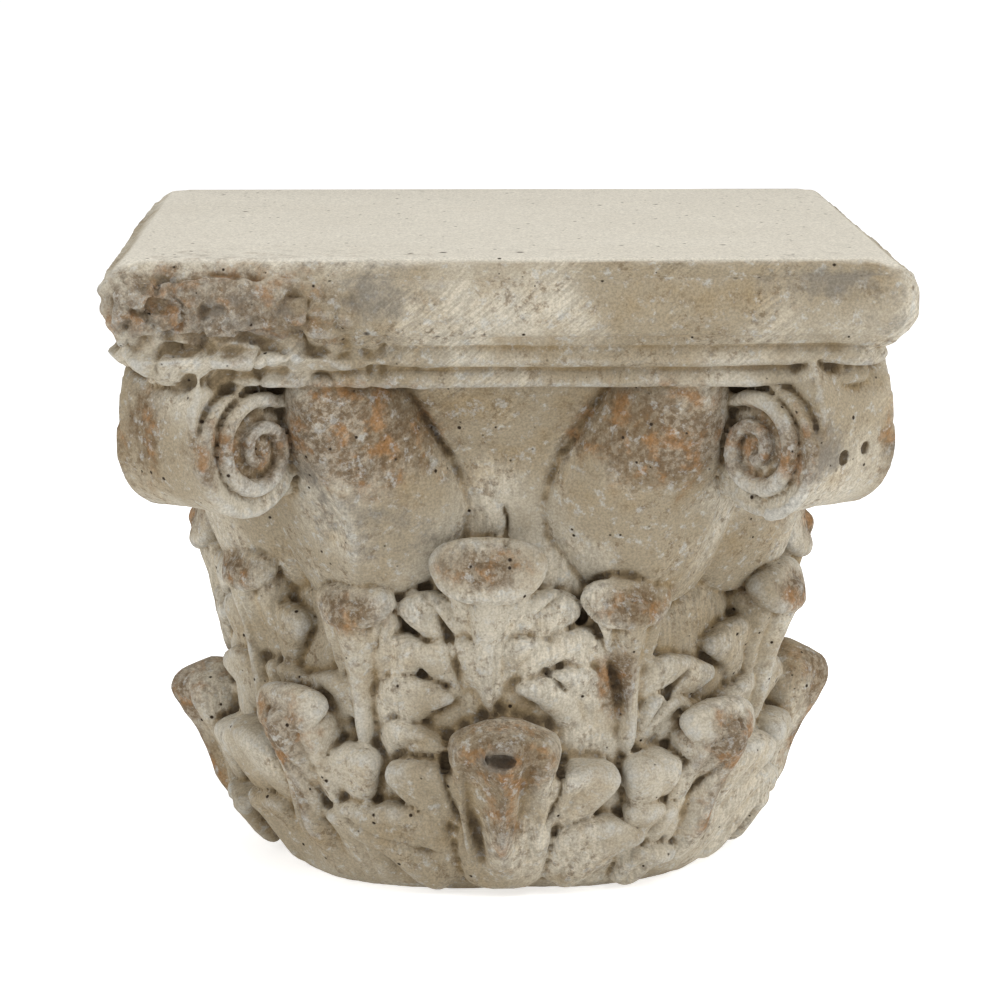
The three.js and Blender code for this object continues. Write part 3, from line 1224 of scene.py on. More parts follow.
@dataclass(frozen=True)
class Carving:
    """The tool marks: those on every face, and those of the front face alone."""

    @staticmethod
    def every_face() -> list[Stroke]:
        """Gives the raised line that edges the field between the stems, with a groove on both sides.

        Returns:
            The strokes, as seen on the front face.
        """
        left = ((-15.6, 203), (-12.0, 186), (-6.8, 167), (-1.9, 147))
        right = ((14.8, 201), (9.4, 181), (3.2, 147))
        strokes = []
        for line, side in ((left, 1.0), (right, -1.0)):
            inner = tuple((angle + side * 1.3, height) for angle, height in line)
            outer = tuple((angle - side * 1.4, height) for angle, height in line)
            strokes.append(Stroke(line, 3.4, -0.9))
            strokes.append(Stroke(inner, 3.0, 0.3))
            strokes.append(Stroke(outer, 3.2, 0.25))
        return strokes

    @staticmethod
    def front() -> list[Stroke]:
        """Gives the creases and ribs of the front leaves and the marks on the slab.

        Returns:
            The strokes.
        """
        return [
            Stroke(((-0.3, 156), (0.3, 150), (-0.1, 144)), 2.0, 3.5),
            Stroke(((-16.2, 125), (-13.4, 116), (-10.2, 105), (-8.3, 84)), 2.0, 2.2),
            Stroke(((-12.5, 112), (-10.6, 98), (-8.9, 87)), 1.6, 1.6),
            Stroke(((10.6, 124.5), (8.0, 119), (5.5, 115)), 2.0, 2.8),
            Stroke(((-2.0, 106), (-1.8, 79)), 2.2, 2.0),
            Stroke(((-5.0, 119), (-5.3, 82)), 4.5, -1.2),
            Stroke(((14.0, 121.5), (16.5, 111), (19.2, 99.5)), 1.9, 2.8),
            Stroke(((38.3, 88.5), (33.0, 79), (29.6, 67)), 2.0, 2.8),
            Stroke(((37.4, 61), (43, 67), (48.5, 74)), 1.8, 1.8),
            Stroke(((20.0, 96), (22.1, 85), (23.8, 69)), 3.2, 2.4),
            Stroke(((26.8, 101), (25.8, 88), (25.0, 75)), 3.0, 2.0),
            Stroke(((7.4, 94), (11.8, 85)), 1.8, 2.6),
            Stroke(((-22.9, 113), (-25.2, 100)), 1.9, 2.4),
            Stroke(((-32.9, 70), (-32.6, 66)), 3.6, 4.5),
            Stroke(((-58.1, 128), (-56.5, 104), (-54.9, 80)), 2.6, 1.8),
            Stroke(((-51.3, 100), (-50.6, 74)), 2.4, 1.6),
            Stroke(((-11.9, 62), (-11.0, 45), (-8.5, 19)), 2.0, 2.8),
            Stroke(((-7.8, 60), (-7.1, 39), (-5.0, 17)), 4.0, 2.4),
            Stroke(((-0.8, 60), (-0.6, 18)), 3.4, -1.6),
            Stroke(((3.8, 58), (3.5, 39), (2.1, 18)), 4.0, 2.4),
            Stroke(((10.4, 60), (10.1, 45), (7.4, 25)), 2.0, 2.6),
            Stroke(((37.9, 39), (41.0, 54)), 2.0, 2.4),
            Stroke(((27.6, 59), (33.9, 52)), 2.6, 1.5),
            Stroke(((-52.4, 68), (-44.1, 50), (-38.7, 30)), 2.6, 2.0),
            Stroke(((-45.3, 75), (-41.1, 55), (-37.1, 34)), 2.6, 2.0),
            Stroke(((36.6, 64), (34.4, 44), (30.5, 26)), 2.6, 2.0),
            Stroke(((-37.7, 37), (-25.9, 26), (-13.2, 18)), 2.2, 1.6),
            Stroke(((-29.0, 174), (-26.2, 155), (-26.8, 134)), 8.0, -2.2),
            Stroke(((36.5, 172), (36.5, 152), (34.0, 133)), 8.0, -1.8),
            Stroke(((-93, 229), (-71, 224), (-50, 222)), 4.5, -1.8, Ground.SLAB),
            Stroke(((-95, 225), (-71, 219.5), (-48, 218.5)), 2.2, 1.6, Ground.SLAB),
            Stroke(((-99, 252), (-92, 244), (-84, 239)), 3.0, -1.2, Ground.SLAB),
            Stroke(((-136, 222), (-119, 221)), 2.6, 2.6, Ground.SLAB),
            Stroke(((-78, 245), (-77.5, 244.5)), 3.2, 2.4, Ground.SLAB),
            Stroke(((-146, 240), (-130, 234), (-112, 236)), 2.2, 1.6, Ground.SLAB),
            Stroke(((-106, 250), (-112, 238), (-104, 228)), 2.0, 1.4, Ground.SLAB),
        ]

    def cut(self, skin: Skin) -> None:
        """Carves every stroke into the skin.

        Args:
            skin: The skin to work on.
        """
        for face in range(4):
            self._cut_face(skin, self.every_face(), face * FACE_TURN)
        self._cut_face(skin, self.front(), 0.0)

    @staticmethod
    def _cut_face(skin: Skin, strokes: Iterable[Stroke], turn: float) -> None:
        """Carves strokes into one face.

        Args:
            skin: The skin to carve.
            strokes: What is carved, as seen on the front face.
            turn: Degrees that the face is turned from the front.
        """
        points = turned(skin.points, -turn)
        normals = turned(skin.normals(), -turn)
        radius = np.hypot(points[:, 0], points[:, 1])
        angle = np.degrees(np.arctan2(points[:, 0], -points[:, 1]))
        radial = unit(points * np.array([1.0, 1.0, 0.0]))
        facing = np.sum(normals * radial, axis=1)
        open_skin = np.flatnonzero((np.abs(angle) < 80) & (facing > 0.15) & (radius > 85))
        total = np.zeros(skin.count)
        for stroke in strokes:
            if stroke.ground is Ground.SLAB:
                near = open_skin[points[open_skin, 1] < -130]
                across, scale = points[near, 0], np.ones(len(near))
            else:
                near = open_skin
                across, scale = angle[near], np.radians(radius[near])
            total[near] += stroke.depths(across, points[near, 2], scale)
        skin.push(total)


@dataclass(frozen=True)
class Bite:
    """A hollow left where stone has broken away."""

    place: tuple[float, float, float]
    halves: tuple[float, float, float]
    turn: float = 0.0
    rough: float = 0.1

    def take(self, skin: Skin, noise: Noise) -> None:
        """Breaks the hollow out of the skin.

        Args:
            skin: The skin to work on.
            noise: Where its unevenness comes from.
        """
        centre = np.asarray(self.place, float)
        halves = np.asarray(self.halves, float)
        near = np.flatnonzero(np.all(np.abs(skin.points - centre) < halves.max() * 1.3, axis=1))
        local = turned(skin.points[near] - centre, -self.turn) / halves
        reach = np.linalg.norm(local, axis=1)
        edge = 1 + self.rough * noise(skin.points[near], 7.0) + 0.5 * self.rough * noise(
            skin.points[near], 3.0)
        inside = reach < edge
        local[inside] *= (edge[inside] / np.maximum(reach[inside], 0.05))[:, None]
        moved = skin.points[near]
        moved[inside] = turned(local[inside] * halves, self.turn) + centre
        skin.points[near] = moved


@dataclass(frozen=True)
class Weather:
    """The wear of the casting: soft arrises, the broken corner, chips, pits and unevenness."""

    abacus: Abacus
    noise: Noise
    arris_wear: float = 5.0
    front_sag: float = 3.2
    corner_bites: int = 24
    chips: int = 34
    lump_depth: float = 1.9
    grain_depth: float = 1.2
    crack_depth: float = 2.0
    corner_seed: int = 8
    chip_seed: int = 5

    def wear(self, skin: Skin) -> None:
        """Wears the skin.

        Args:
            skin: The skin to work on.
        """
        self._wear_slab(skin)
        self._break_corner(skin)
        self._roughen(skin)
        self._chip(skin)
        self._rest_flat(skin)

    def _wear_slab(self, skin: Skin) -> None:
        """Wears the slab's lower arris back and lets its front arris sag a little.

        Args:
            skin: The skin to work on.
        """
        half, bed = self.abacus.half, self.abacus.bed
        points = skin.points
        side = np.max(np.abs(points[:, :2]), axis=1)
        wear = np.clip((bed + 15 - points[:, 2]) / 15, 0, 1) * ease(bed - 4, bed + 1, points[:, 2])
        wear = wear * ease(half - 14, half - 2, side)
        points[:, :2] *= (1 - self.arris_wear * wear ** 2 / half)[:, None]
        front = ease(half - 16, half - 1, -points[:, 1])
        sag = np.exp(-((points[:, 0] + 12) / 62) ** 2)
        near_top = ease(self.abacus.top - 12, self.abacus.top, points[:, 2])
        points[:, 2] -= self.front_sag * front * sag * near_top

    def _break_corner(self, skin: Skin) -> None:
        """Breaks stone off the front left corner and roughens what is left.

        Args:
            skin: The skin to work on.
        """
        half, top, bed = self.abacus.half, self.abacus.top, self.abacus.bed
        bites = (
            Bite((-half - 7, -half - 7, top + 2), (17, 17, 13), 20, 0.16),
            Bite((-half + 62, -half - 9, top + 3), (46, 13, 10), -5, 0.2),
            Bite((-half - 6, -half - 6, bed + 2), (18, 14, 12), -15, 0.16),
        )
        for bite in bites:
            bite.take(skin, self.noise)
        chance = np.random.default_rng(self.corner_seed)
        for _ in range(self.corner_bites):
            size = chance.uniform(3.0, 8.0)
            across, rise = chance.uniform(-half, -half + 96), chance.uniform(bed - 4, top - 3)
            bite = Bite((across, -half - 0.75 * size, rise), (1.6 * size, size, 0.9 * size), 0, 0.35)
            bite.take(skin, self.noise)
        points = skin.points
        rough = self.abacus.rough_zone(points)
        lumps = self.lump_depth * self.noise(points, 10.0) + self.grain_depth * self.noise(points, 4.6)
        cracks = np.exp(-(self.noise(points + 40.0, 9.5) / 0.13) ** 2)
        skin.push(rough * (lumps + self.crack_depth * cracks + 0.6))

    def _roughen(self, skin: Skin) -> None:
        """Makes the whole surface a little uneven, less on the flat top.

        Args:
            skin: The skin to work on.
        """
        points = skin.points
        on_top = ease(self.abacus.top - 4, self.abacus.top - 1, points[:, 2])
        broad = 0.9 * self.noise(points, 58.0) + 0.45 * self.noise(points, 17.0)
        fine = 0.22 * self.noise(points, 5.2) + 0.12 * self.noise(points, 2.6)
        skin.push((broad + fine) * (1 - 0.8 * on_top))

    def _chip(self, skin: Skin) -> None:
        """Chips the arrises, the lower middle leaf and the right volute.

        Args:
            skin: The skin to work on.
        """
        half, top, bed = self.abacus.half, self.abacus.top, self.abacus.bed
        chance = np.random.default_rng(self.chip_seed)
        for _ in range(self.chips):
            along = chance.uniform(-half + 8, half - 8)
            size = chance.uniform(1.6, 4.2)
            height = top if chance.random() < 0.6 else bed + 1
            spot = turned(np.array([along, -half - size * 0.35, height + size * 0.3]),
                          FACE_TURN * int(chance.integers(4)))
            Bite(tuple(spot), (size * 1.8, size * 1.8, size), 0, 0.3).take(skin, self.noise)
        Bite(tuple(polar(-1.2, 138.5, 63.0)), (8.0, 8.0, 4.0), 0, 0.3).take(skin, self.noise)
        for angle, height, size in ((43, 179, 3.2), (47, 181.5, 2.6), (49, 173, 1.8), (38, 170, 1.6)):
            spot = polar(angle, 184.5, height)
            Bite(tuple(spot), (size, size, size), 0, 0.15).take(skin, self.noise)

    def _rest_flat(self, skin: Skin) -> None:
        """Keeps the skin inside its size, with a flat foot and a flat top.

        Args:
            skin: The skin to work on.
        """
        half = self.abacus.half
        skin.points[:, 2] = np.clip(skin.points[:, 2], 0.0, self.abacus.top)
        skin.points[:, :2] = np.clip(skin.points[:, :2], -half - 1.0, half + 1.0)


# ---- finish -----------------------------------------------------------------------------------------
def srgb(red: int, green: int, blue: int) -> Colour:
    """Turns a colour as seen on a screen into the linear values that shaders use.

    Args:
        red: Red from 0 to 255.
        green: Green from 0 to 255.
        blue: Blue from 0 to 255.

    Returns:
        Red, green, blue and alpha, each from 0 to 1.
    """
    def linear(value: int) -> float:
        """Turns one channel."""
        part = value / 255
        return part / 12.92 if part <= 0.04045 else ((part + 0.055) / 1.055) ** 2.4

    return linear(red), linear(green), linear(blue), 1.0


@dataclass(frozen=True)
class StoneFinish:
    """The colours and strengths of the weathered stone."""

    body: Colour = srgb(152, 140, 118)
    pale: Colour = srgb(186, 178, 161)
    # Paler colour of the top face: partly its own tone, partly a painted highlight of the light from above.
    top_tone_and_highlight: Colour = srgb(214, 208, 194)
    blue_grey: Colour = srgb(182, 182, 177)
    ochre: Colour = srgb(143, 121, 84)
    umber: Colour = srgb(98, 77, 52)
    orange: Colour = srgb(156, 112, 66)
    grey: Colour = srgb(118, 112, 102)
    # Near-black painted shade for the creases and the pinholes.
    crease_and_pit_shade: Colour = srgb(48, 37, 25)
    roughness: tuple[float, float] = (0.86, 0.97)


class Bench:
    """Places and joins the nodes of one node tree."""

    def __init__(self, tree: bpy.types.NodeTree) -> None:
        """Starts work on a tree."""
        self.tree = tree

    def node(self, kind: str, **settings: object) -> bpy.types.Node:
        """Adds a node.

        Args:
            kind: The node's type.
            settings: Properties of the node.

        Returns:
            The new node.
        """
        made = self.tree.nodes.new(kind)
        for name, value in settings.items():
            setattr(made, name, value)
        return made

    def feed(self, socket: bpy.types.NodeSocket, value: object) -> None:
        """Joins a socket to another, or sets its value.

        Args:
            socket: The socket.
            value: Another socket, or a value.
        """
        if isinstance(value, bpy.types.NodeSocket):
            self.tree.links.new(value, socket)
        else:
            socket.default_value = value

    def maths(self, operation: str, first: object, second: object = 0.0,
              clamp: bool = False) -> Socket:
        """Adds a sum, product or other operation on two values.

        Args:
            operation: The operation's name.
            first: The first value or socket.
            second: The second value or socket.
            clamp: Whether the result is kept from 0 to 1.

        Returns:
            The socket with the result.
        """
        made = self.node("ShaderNodeMath", operation=operation, use_clamp=clamp)
        self.feed(made.inputs[0], first)
        self.feed(made.inputs[1], second)
        return made.outputs[0]

    def range(self, value: object, low: float, high: float, to_low: float = 0.0,
              to_high: float = 1.0) -> Socket:
        """Stretches a range of values smoothly to another range.

        Args:
            value: The value or socket.
            low: Where the range starts.
            high: Where it ends.
            to_low: What the start becomes.
            to_high: What the end becomes.

        Returns:
            The socket with the result.
        """
        made = self.node("ShaderNodeMapRange", interpolation_type="SMOOTHSTEP")
        for socket, number in zip(made.inputs, (value, low, high, to_low, to_high)):
            self.feed(socket, number)
        return made.outputs[0]

    def noise(self, place: object, scale: float, detail: float = 4.0, rough: float = 0.55) -> Socket:
        """Adds a cloud of noise.

        Args:
            place: The coordinates.
            scale: Bumps in a metre.
            detail: How many finer layers it has.
            rough: How strong the finer layers are.

        Returns:
            The socket with values from 0 to 1.
        """
        made = self.node("ShaderNodeTexNoise", noise_dimensions="3D")
        self.feed(made.inputs["Vector"], place)
        self.feed(made.inputs["Scale"], scale)
        self.feed(made.inputs["Detail"], detail)
        self.feed(made.inputs["Roughness"], rough)
        return made.outputs[0]

    def mix(self, share: object, first: object, second: object, blend: str = "MIX") -> Socket:
        """Mixes two colours.

        Args:
            share: How much of the second colour shows.
            first: The first colour or socket.
            second: The second colour or socket.
            blend: How they are laid over each other.

        Returns:
            The socket with the colour.
        """
        made = self.node("ShaderNodeMix", data_type="RGBA", blend_type=blend)
        self.feed(made.inputs[0], share)
        self.feed(made.inputs[6], first)
        self.feed(made.inputs[7], second)
        return made.outputs[2]

    def shade(self, colour: Socket, value: Socket) -> Socket:
        """Makes a colour lighter or darker.

        Args:
            colour: The colour.
            value: What it is multiplied by.

        Returns:
            The socket with the colour.
        """
        grey = self.node("ShaderNodeCombineColor")
        for socket in grey.inputs:
            self.feed(socket, value)
        return self.mix(1.0, colour, grey.outputs[0], "MULTIPLY")

    def attribute(self, name: str) -> Socket:
        """Gives the value of a painted attribute."""
        made = self.node("ShaderNodeAttribute", attribute_name=name, attribute_type="GEOMETRY")
        return made.outputs["Fac"]

    def mapping(self, place: object, scale: Sequence[float],
                turn: Sequence[float] = (0, 0, 0)) -> Socket:
        """Stretches and turns coordinates.

        Args:
            place: The coordinates.
            scale: The stretch along each axis.
            turn: The turn about each axis, in degrees.

        Returns:
            The socket with the new coordinates.
        """
        made = self.node("ShaderNodeMapping")
        self.feed(made.inputs["Vector"], place)
        made.inputs["Scale"].default_value = scale
        made.inputs["Rotation"].default_value = [math.radians(angle) for angle in turn]
        return made.outputs[0]


def new_group(name: str, inputs: Sequence[tuple[str, str, object]], outputs: Sequence[tuple[str, str]]
              ) -> tuple[bpy.types.NodeTree, Bench, bpy.types.Node, bpy.types.Node]:
    """Starts a shader node group.

    Args:
        name: The group's name.
        inputs: Name, socket type and first value of each input.
        outputs: Name and socket type of each output.

    Returns:
        The group, its bench, its input node and its output node.
    """
    group = bpy.data.node_groups.new(name, "ShaderNodeTree")
    for label, kind, value in inputs:
        socket = group.interface.new_socket(name=label, in_out="INPUT", socket_type=kind)
        if value is not None:
            socket.default_value = value
    for label, kind in outputs:
        group.interface.new_socket(name=label, in_out="OUTPUT", socket_type=kind)
    bench = Bench(group)
    return group, bench, bench.node("NodeGroupInput"), bench.node("NodeGroupOutput")


class Effects:
    """The shader node groups of the finish, each built once."""

    def __init__(self) -> None:
        """Builds the groups."""
        self.patch = self._patch()
        self.pinholes = self._pinholes()
        self.hatching = self._hatching()

    @staticmethod
    def _patch() -> bpy.types.NodeTree:
        """Builds a painted patch whose edge is broken up by noise.

        Returns:
            The group.
        """
        group, bench, start, end = new_group(
            "broken patch",
            [("Place", "NodeSocketVector", None), ("Amount", "NodeSocketFloat", 0.0),
             ("Scale", "NodeSocketFloat", 90.0), ("Break", "NodeSocketFloat", 0.6)],
            [("Mask", "NodeSocketFloat")])
        cloud = bench.node("ShaderNodeTexNoise", noise_dimensions="3D")
        bench.feed(cloud.inputs["Vector"], start.outputs["Place"])
        bench.feed(cloud.inputs["Scale"], start.outputs["Scale"])
        cloud.inputs["Detail"].default_value = 6.0
        cloud.inputs["Roughness"].default_value = 0.68
        centred = bench.maths("SUBTRACT", cloud.outputs[0], 0.5)
        broken = bench.maths("MULTIPLY", centred, start.outputs["Break"])
        broken = bench.maths("MULTIPLY", broken, 4.0)
        total = bench.maths("ADD", start.outputs["Amount"], broken)
        bench.feed(end.inputs["Mask"], bench.range(total, 0.25, 0.85))
        return group

    @staticmethod
    def _pinholes() -> bpy.types.NodeTree:
        """Builds small round holes scattered at random.

        Returns:
            The group.
        """
        group, bench, start, end = new_group(
            "pinholes",
            [("Place", "NodeSocketVector", None), ("Scale", "NodeSocketFloat", 150.0),
             ("Size", "NodeSocketFloat", 0.1), ("Share", "NodeSocketFloat", 0.3)],
            [("Mask", "NodeSocketFloat")])
        cells = bench.node("ShaderNodeTexVoronoi", feature="F1", voronoi_dimensions="3D")
        bench.feed(cells.inputs["Vector"], start.outputs["Place"])
        bench.feed(cells.inputs["Scale"], start.outputs["Scale"])
        colour = bench.node("ShaderNodeSeparateColor")
        bench.feed(colour.inputs[0], cells.outputs["Color"])
        size = bench.maths("MULTIPLY", start.outputs["Size"], colour.outputs[1])
        inside = bench.maths("SUBTRACT", size, cells.outputs["Distance"])
        inside = bench.maths("MULTIPLY", inside, 14.0, clamp=True)
        chosen = bench.maths("LESS_THAN", colour.outputs[0], start.outputs["Share"])
        bench.feed(end.inputs["Mask"], bench.maths("MULTIPLY", inside, chosen))
        return group

    @staticmethod
    def _hatching() -> bpy.types.NodeTree:
        """Builds short brush strokes that all run one way.

        Returns:
            The group.
        """
        group, bench, start, end = new_group(
            "brush hatching",
            [("Place", "NodeSocketVector", None)],
            [("Value", "NodeSocketFloat")])
        leaning = bench.mapping(start.outputs["Place"], (1, 1, 1), (0, 40, 0))
        slanted = bench.noise(bench.mapping(leaning, (110, 110, 850)), 1.0, 3.0, 0.6)
        upright = bench.noise(bench.mapping(start.outputs["Place"], (520, 520, 95)), 1.0, 3.0, 0.6)
        parts = bench.node("ShaderNodeSeparateXYZ")
        bench.feed(parts.inputs[0], start.outputs["Place"])
        strokes = bench.node("ShaderNodeMix", data_type="FLOAT")
        bench.feed(strokes.inputs[0], bench.range(parts.outputs[2], 0.15, 0.21))
        bench.feed(strokes.inputs[2], upright)
        bench.feed(strokes.inputs[3], slanted)
        patches = bench.noise(start.outputs["Place"], 28.0, 2.0, 0.5)
        share = bench.range(patches, 0.42, 0.62)
        centred = bench.maths("SUBTRACT", strokes.outputs[0], 0.5)
        bench.feed(end.inputs["Value"], bench.maths("MULTIPLY", centred, share))
        return group


class StoneMaterial:
    """The weathered stone: an ochre dirt wash with painted shade in the hollows, near-black painted shade in
    the creases and pinholes, dry brushing with painted highlight on the crests, a paler top with painted
    highlight, rubbed and sooty patches.
    """

    def __init__(self, finish: StoneFinish, effects: Effects) -> None:
        """Keeps what the material is made from."""
        self.finish = finish
        self.effects = effects

    @staticmethod
    def _group(bench: Bench, group: bpy.types.NodeTree, **values: object) -> Socket:
        """Places a node group and feeds its inputs.

        Args:
            bench: Where it is placed.
            group: The node group.
            values: What its inputs get, by name.

        Returns:
            Its first output socket.
        """
        made = bench.node("ShaderNodeGroup", node_tree=group)
        for name, value in values.items():
            bench.feed(made.inputs[name], value)
        return made.outputs[0]

    def build(self) -> bpy.types.Material:
        """Builds the material.

        Returns:
            The material.
        """
        material = bpy.data.materials.new("weathered cast stone")
        material.use_nodes = True
        bench = Bench(material.node_tree)
        shader = material.node_tree.nodes["Principled BSDF"]
        place = bench.node("ShaderNodeTexCoord").outputs["Object"]
        colour, holes = self._colour(bench, place)
        bench.feed(shader.inputs["Base Color"], colour)
        shader.inputs["Specular IOR Level"].default_value = 0.25
        smooth, rough = self.finish.roughness
        bench.feed(shader.inputs["Roughness"], bench.range(bench.noise(place, 60.0), 0.3, 0.7, smooth, rough))
        bench.feed(shader.inputs["Normal"], self._relief(bench, place, holes))
        return material

    def _painted(self, bench: Bench, place: object, layer: str, scale: float, ragged: float) -> Socket:
        """Gives the mask of a painted layer, with a ragged edge.

        Args:
            bench: Where the nodes are placed.
            place: Object coordinates.
            layer: The attribute that holds the layer.
            scale: Ragged bits in a metre.
            ragged: How far the edge is broken up.

        Returns:
            The socket with the mask.
        """
        amount = bench.attribute(layer)
        return self._group(bench, self.effects.patch, Place=place, Amount=amount, Scale=scale, Break=ragged)

    def _colour(self, bench: Bench, place: object) -> tuple[Socket, Socket]:
        """Lays the colours over each other.

        Args:
            bench: Where the nodes are placed.
            place: Object coordinates.

        Returns:
            The sockets with the colour and with the mask of the pinholes.
        """
        top = bench.attribute("top")
        side = bench.maths("SUBTRACT", 1.0, bench.maths("MULTIPLY", top, 0.85))
        colour = self._washes(bench, place, side)
        # The top is laid paler: partly its own tone, partly a painted highlight of the light from above.
        colour = bench.mix(bench.maths("MULTIPLY", top, 0.9), colour, self.finish.top_tone_and_highlight)
        colour = self._wear(bench, place, side, colour)
        grain = bench.noise(place, 1100.0, 3.0, 0.6)
        colour = bench.shade(colour, bench.range(grain, 0.3, 0.7, 0.82, 1.16))
        hatch = bench.maths("MULTIPLY", self._group(bench, self.effects.hatching, Place=place), side)
        colour = bench.shade(colour, bench.range(hatch, -0.12, 0.12, 0.84, 1.12))
        small = self._group(bench, self.effects.pinholes, Place=place, Scale=210.0, Size=0.2, Share=0.4)
        large = self._group(bench, self.effects.pinholes, Place=place, Scale=75.0, Size=0.14, Share=0.4)
        holes = bench.maths("MAXIMUM", small, large)
        # The pinholes get the near-black painted shade of a small hole.
        return bench.mix(holes, colour, self.finish.crease_and_pit_shade), holes

    def _washes(self, bench: Bench, place: object, side: Socket) -> Socket:
        """Lays the body colour, its specks, the dry brushing with painted highlight on the crests, and the
        ochre dirt wash with painted shade in the hollows.

        Args:
            bench: Where the nodes are placed.
            place: Object coordinates.
            side: How far each point is from the clean top.

        Returns:
            The socket with the colour.
        """
        finish = self.finish
        broad = bench.range(bench.noise(place, 14.0, 3.0, 0.5), 0.4, 0.6)
        medium = bench.range(bench.noise(place, 48.0, 6.0, 0.62), 0.45, 0.75, 0.0, 0.5)
        colour = bench.mix(medium, bench.mix(broad, finish.body, finish.pale), finish.ochre)
        specks = bench.range(bench.noise(place, 300.0, 6.0, 0.72), 0.5, 0.63)
        clouds = bench.range(bench.noise(place, 55.0, 3.0, 0.6), 0.4, 0.62)
        specks = bench.maths("MULTIPLY", bench.maths("MULTIPLY", specks, clouds), side)
        colour = bench.mix(bench.maths("MULTIPLY", specks, 0.62), colour, finish.umber)
        # The crests get blue-grey dry brushing that is also a painted highlight.
        crest_brush_and_highlight = self._painted(bench, place, "crest", 160.0, 0.35)
        colour = bench.mix(bench.maths("MULTIPLY", crest_brush_and_highlight, 0.6), colour, finish.blue_grey)
        # The hollows get an ochre dirt wash that is also painted shade.
        hollow_dirt_and_shade = self._painted(bench, place, "hollow", 60.0, 0.3)
        return bench.mix(bench.maths("MULTIPLY", hollow_dirt_and_shade, 0.75), colour, finish.ochre)

    def _wear(self, bench: Bench, place: object, side: Socket, colour: Socket) -> Socket:
        """Rubs the finish through, and lays the dry brushing, the soot and the painted shade in the creases.

        Args:
            bench: Where the nodes are placed.
            place: Object coordinates.
            side: How far each point is from the clean top.
            colour: The colour below.

        Returns:
            The socket with the colour.
        """
        finish = self.finish
        rubbed = self._painted(bench, place, "rub", 130.0, 0.34)
        broken = bench.range(bench.noise(place, 360.0, 6.0, 0.7), 0.42, 0.56, 0.45, 0.86)
        colour = bench.mix(bench.maths("MULTIPLY", rubbed, broken), colour, finish.umber)
        warm = bench.range(bench.noise(place, 95.0, 5.0, 0.65), 0.49, 0.64)
        warm = bench.maths("MULTIPLY", bench.maths("MULTIPLY", rubbed, warm), 0.55)
        colour = bench.mix(warm, colour, finish.orange)
        dry = bench.range(bench.noise(place, 230.0, 6.0, 0.7), 0.54, 0.66)
        dry = bench.maths("MULTIPLY", bench.maths("MULTIPLY", dry, side), 0.55)
        colour = bench.mix(dry, colour, finish.blue_grey)
        sooty = self._painted(bench, place, "soot", 120.0, 0.5)
        colour = bench.mix(bench.maths("MULTIPLY", sooty, 0.75), colour, finish.grey)
        # The creases, found from how concave the skin is, are darkened with near-black painted shade.
        return bench.mix(bench.attribute("painted_crease_shade"), colour, finish.crease_and_pit_shade)

    @staticmethod
    def _relief(bench: Bench, place: object, holes: object) -> Socket:
        """Gives the fine relief of the surface.

        Args:
            bench: Where the nodes are placed.
            place: Object coordinates.
            holes: The mask of the pinholes.

        Returns:
            The socket with the normal.
        """
        grit = bench.noise(place, 700.0, 3.0, 0.7)
        lumps = bench.noise(place, 190.0, 4.0, 0.6)
        grit = bench.maths("MULTIPLY", grit, 0.35)
        height = bench.maths("ADD", grit, bench.maths("MULTIPLY", lumps, 0.6))
        height = bench.maths("SUBTRACT", height, bench.maths("MULTIPLY", holes, 1.2))
        bump = bench.node("ShaderNodeBump")
        bump.inputs["Strength"].default_value = 0.55
        bump.inputs["Distance"].default_value = 0.0012
        bench.feed(bump.inputs["Height"], height)
        return bump.outputs["Normal"]


@dataclass(frozen=True)
class Patch:
    """A place where the finish is rubbed through or sooty."""

    angle: float
    height: float
    across: float
    up: float
    strength: float = 1.0
    least_radius: float = 0.0
    most_radius: float = 400.0


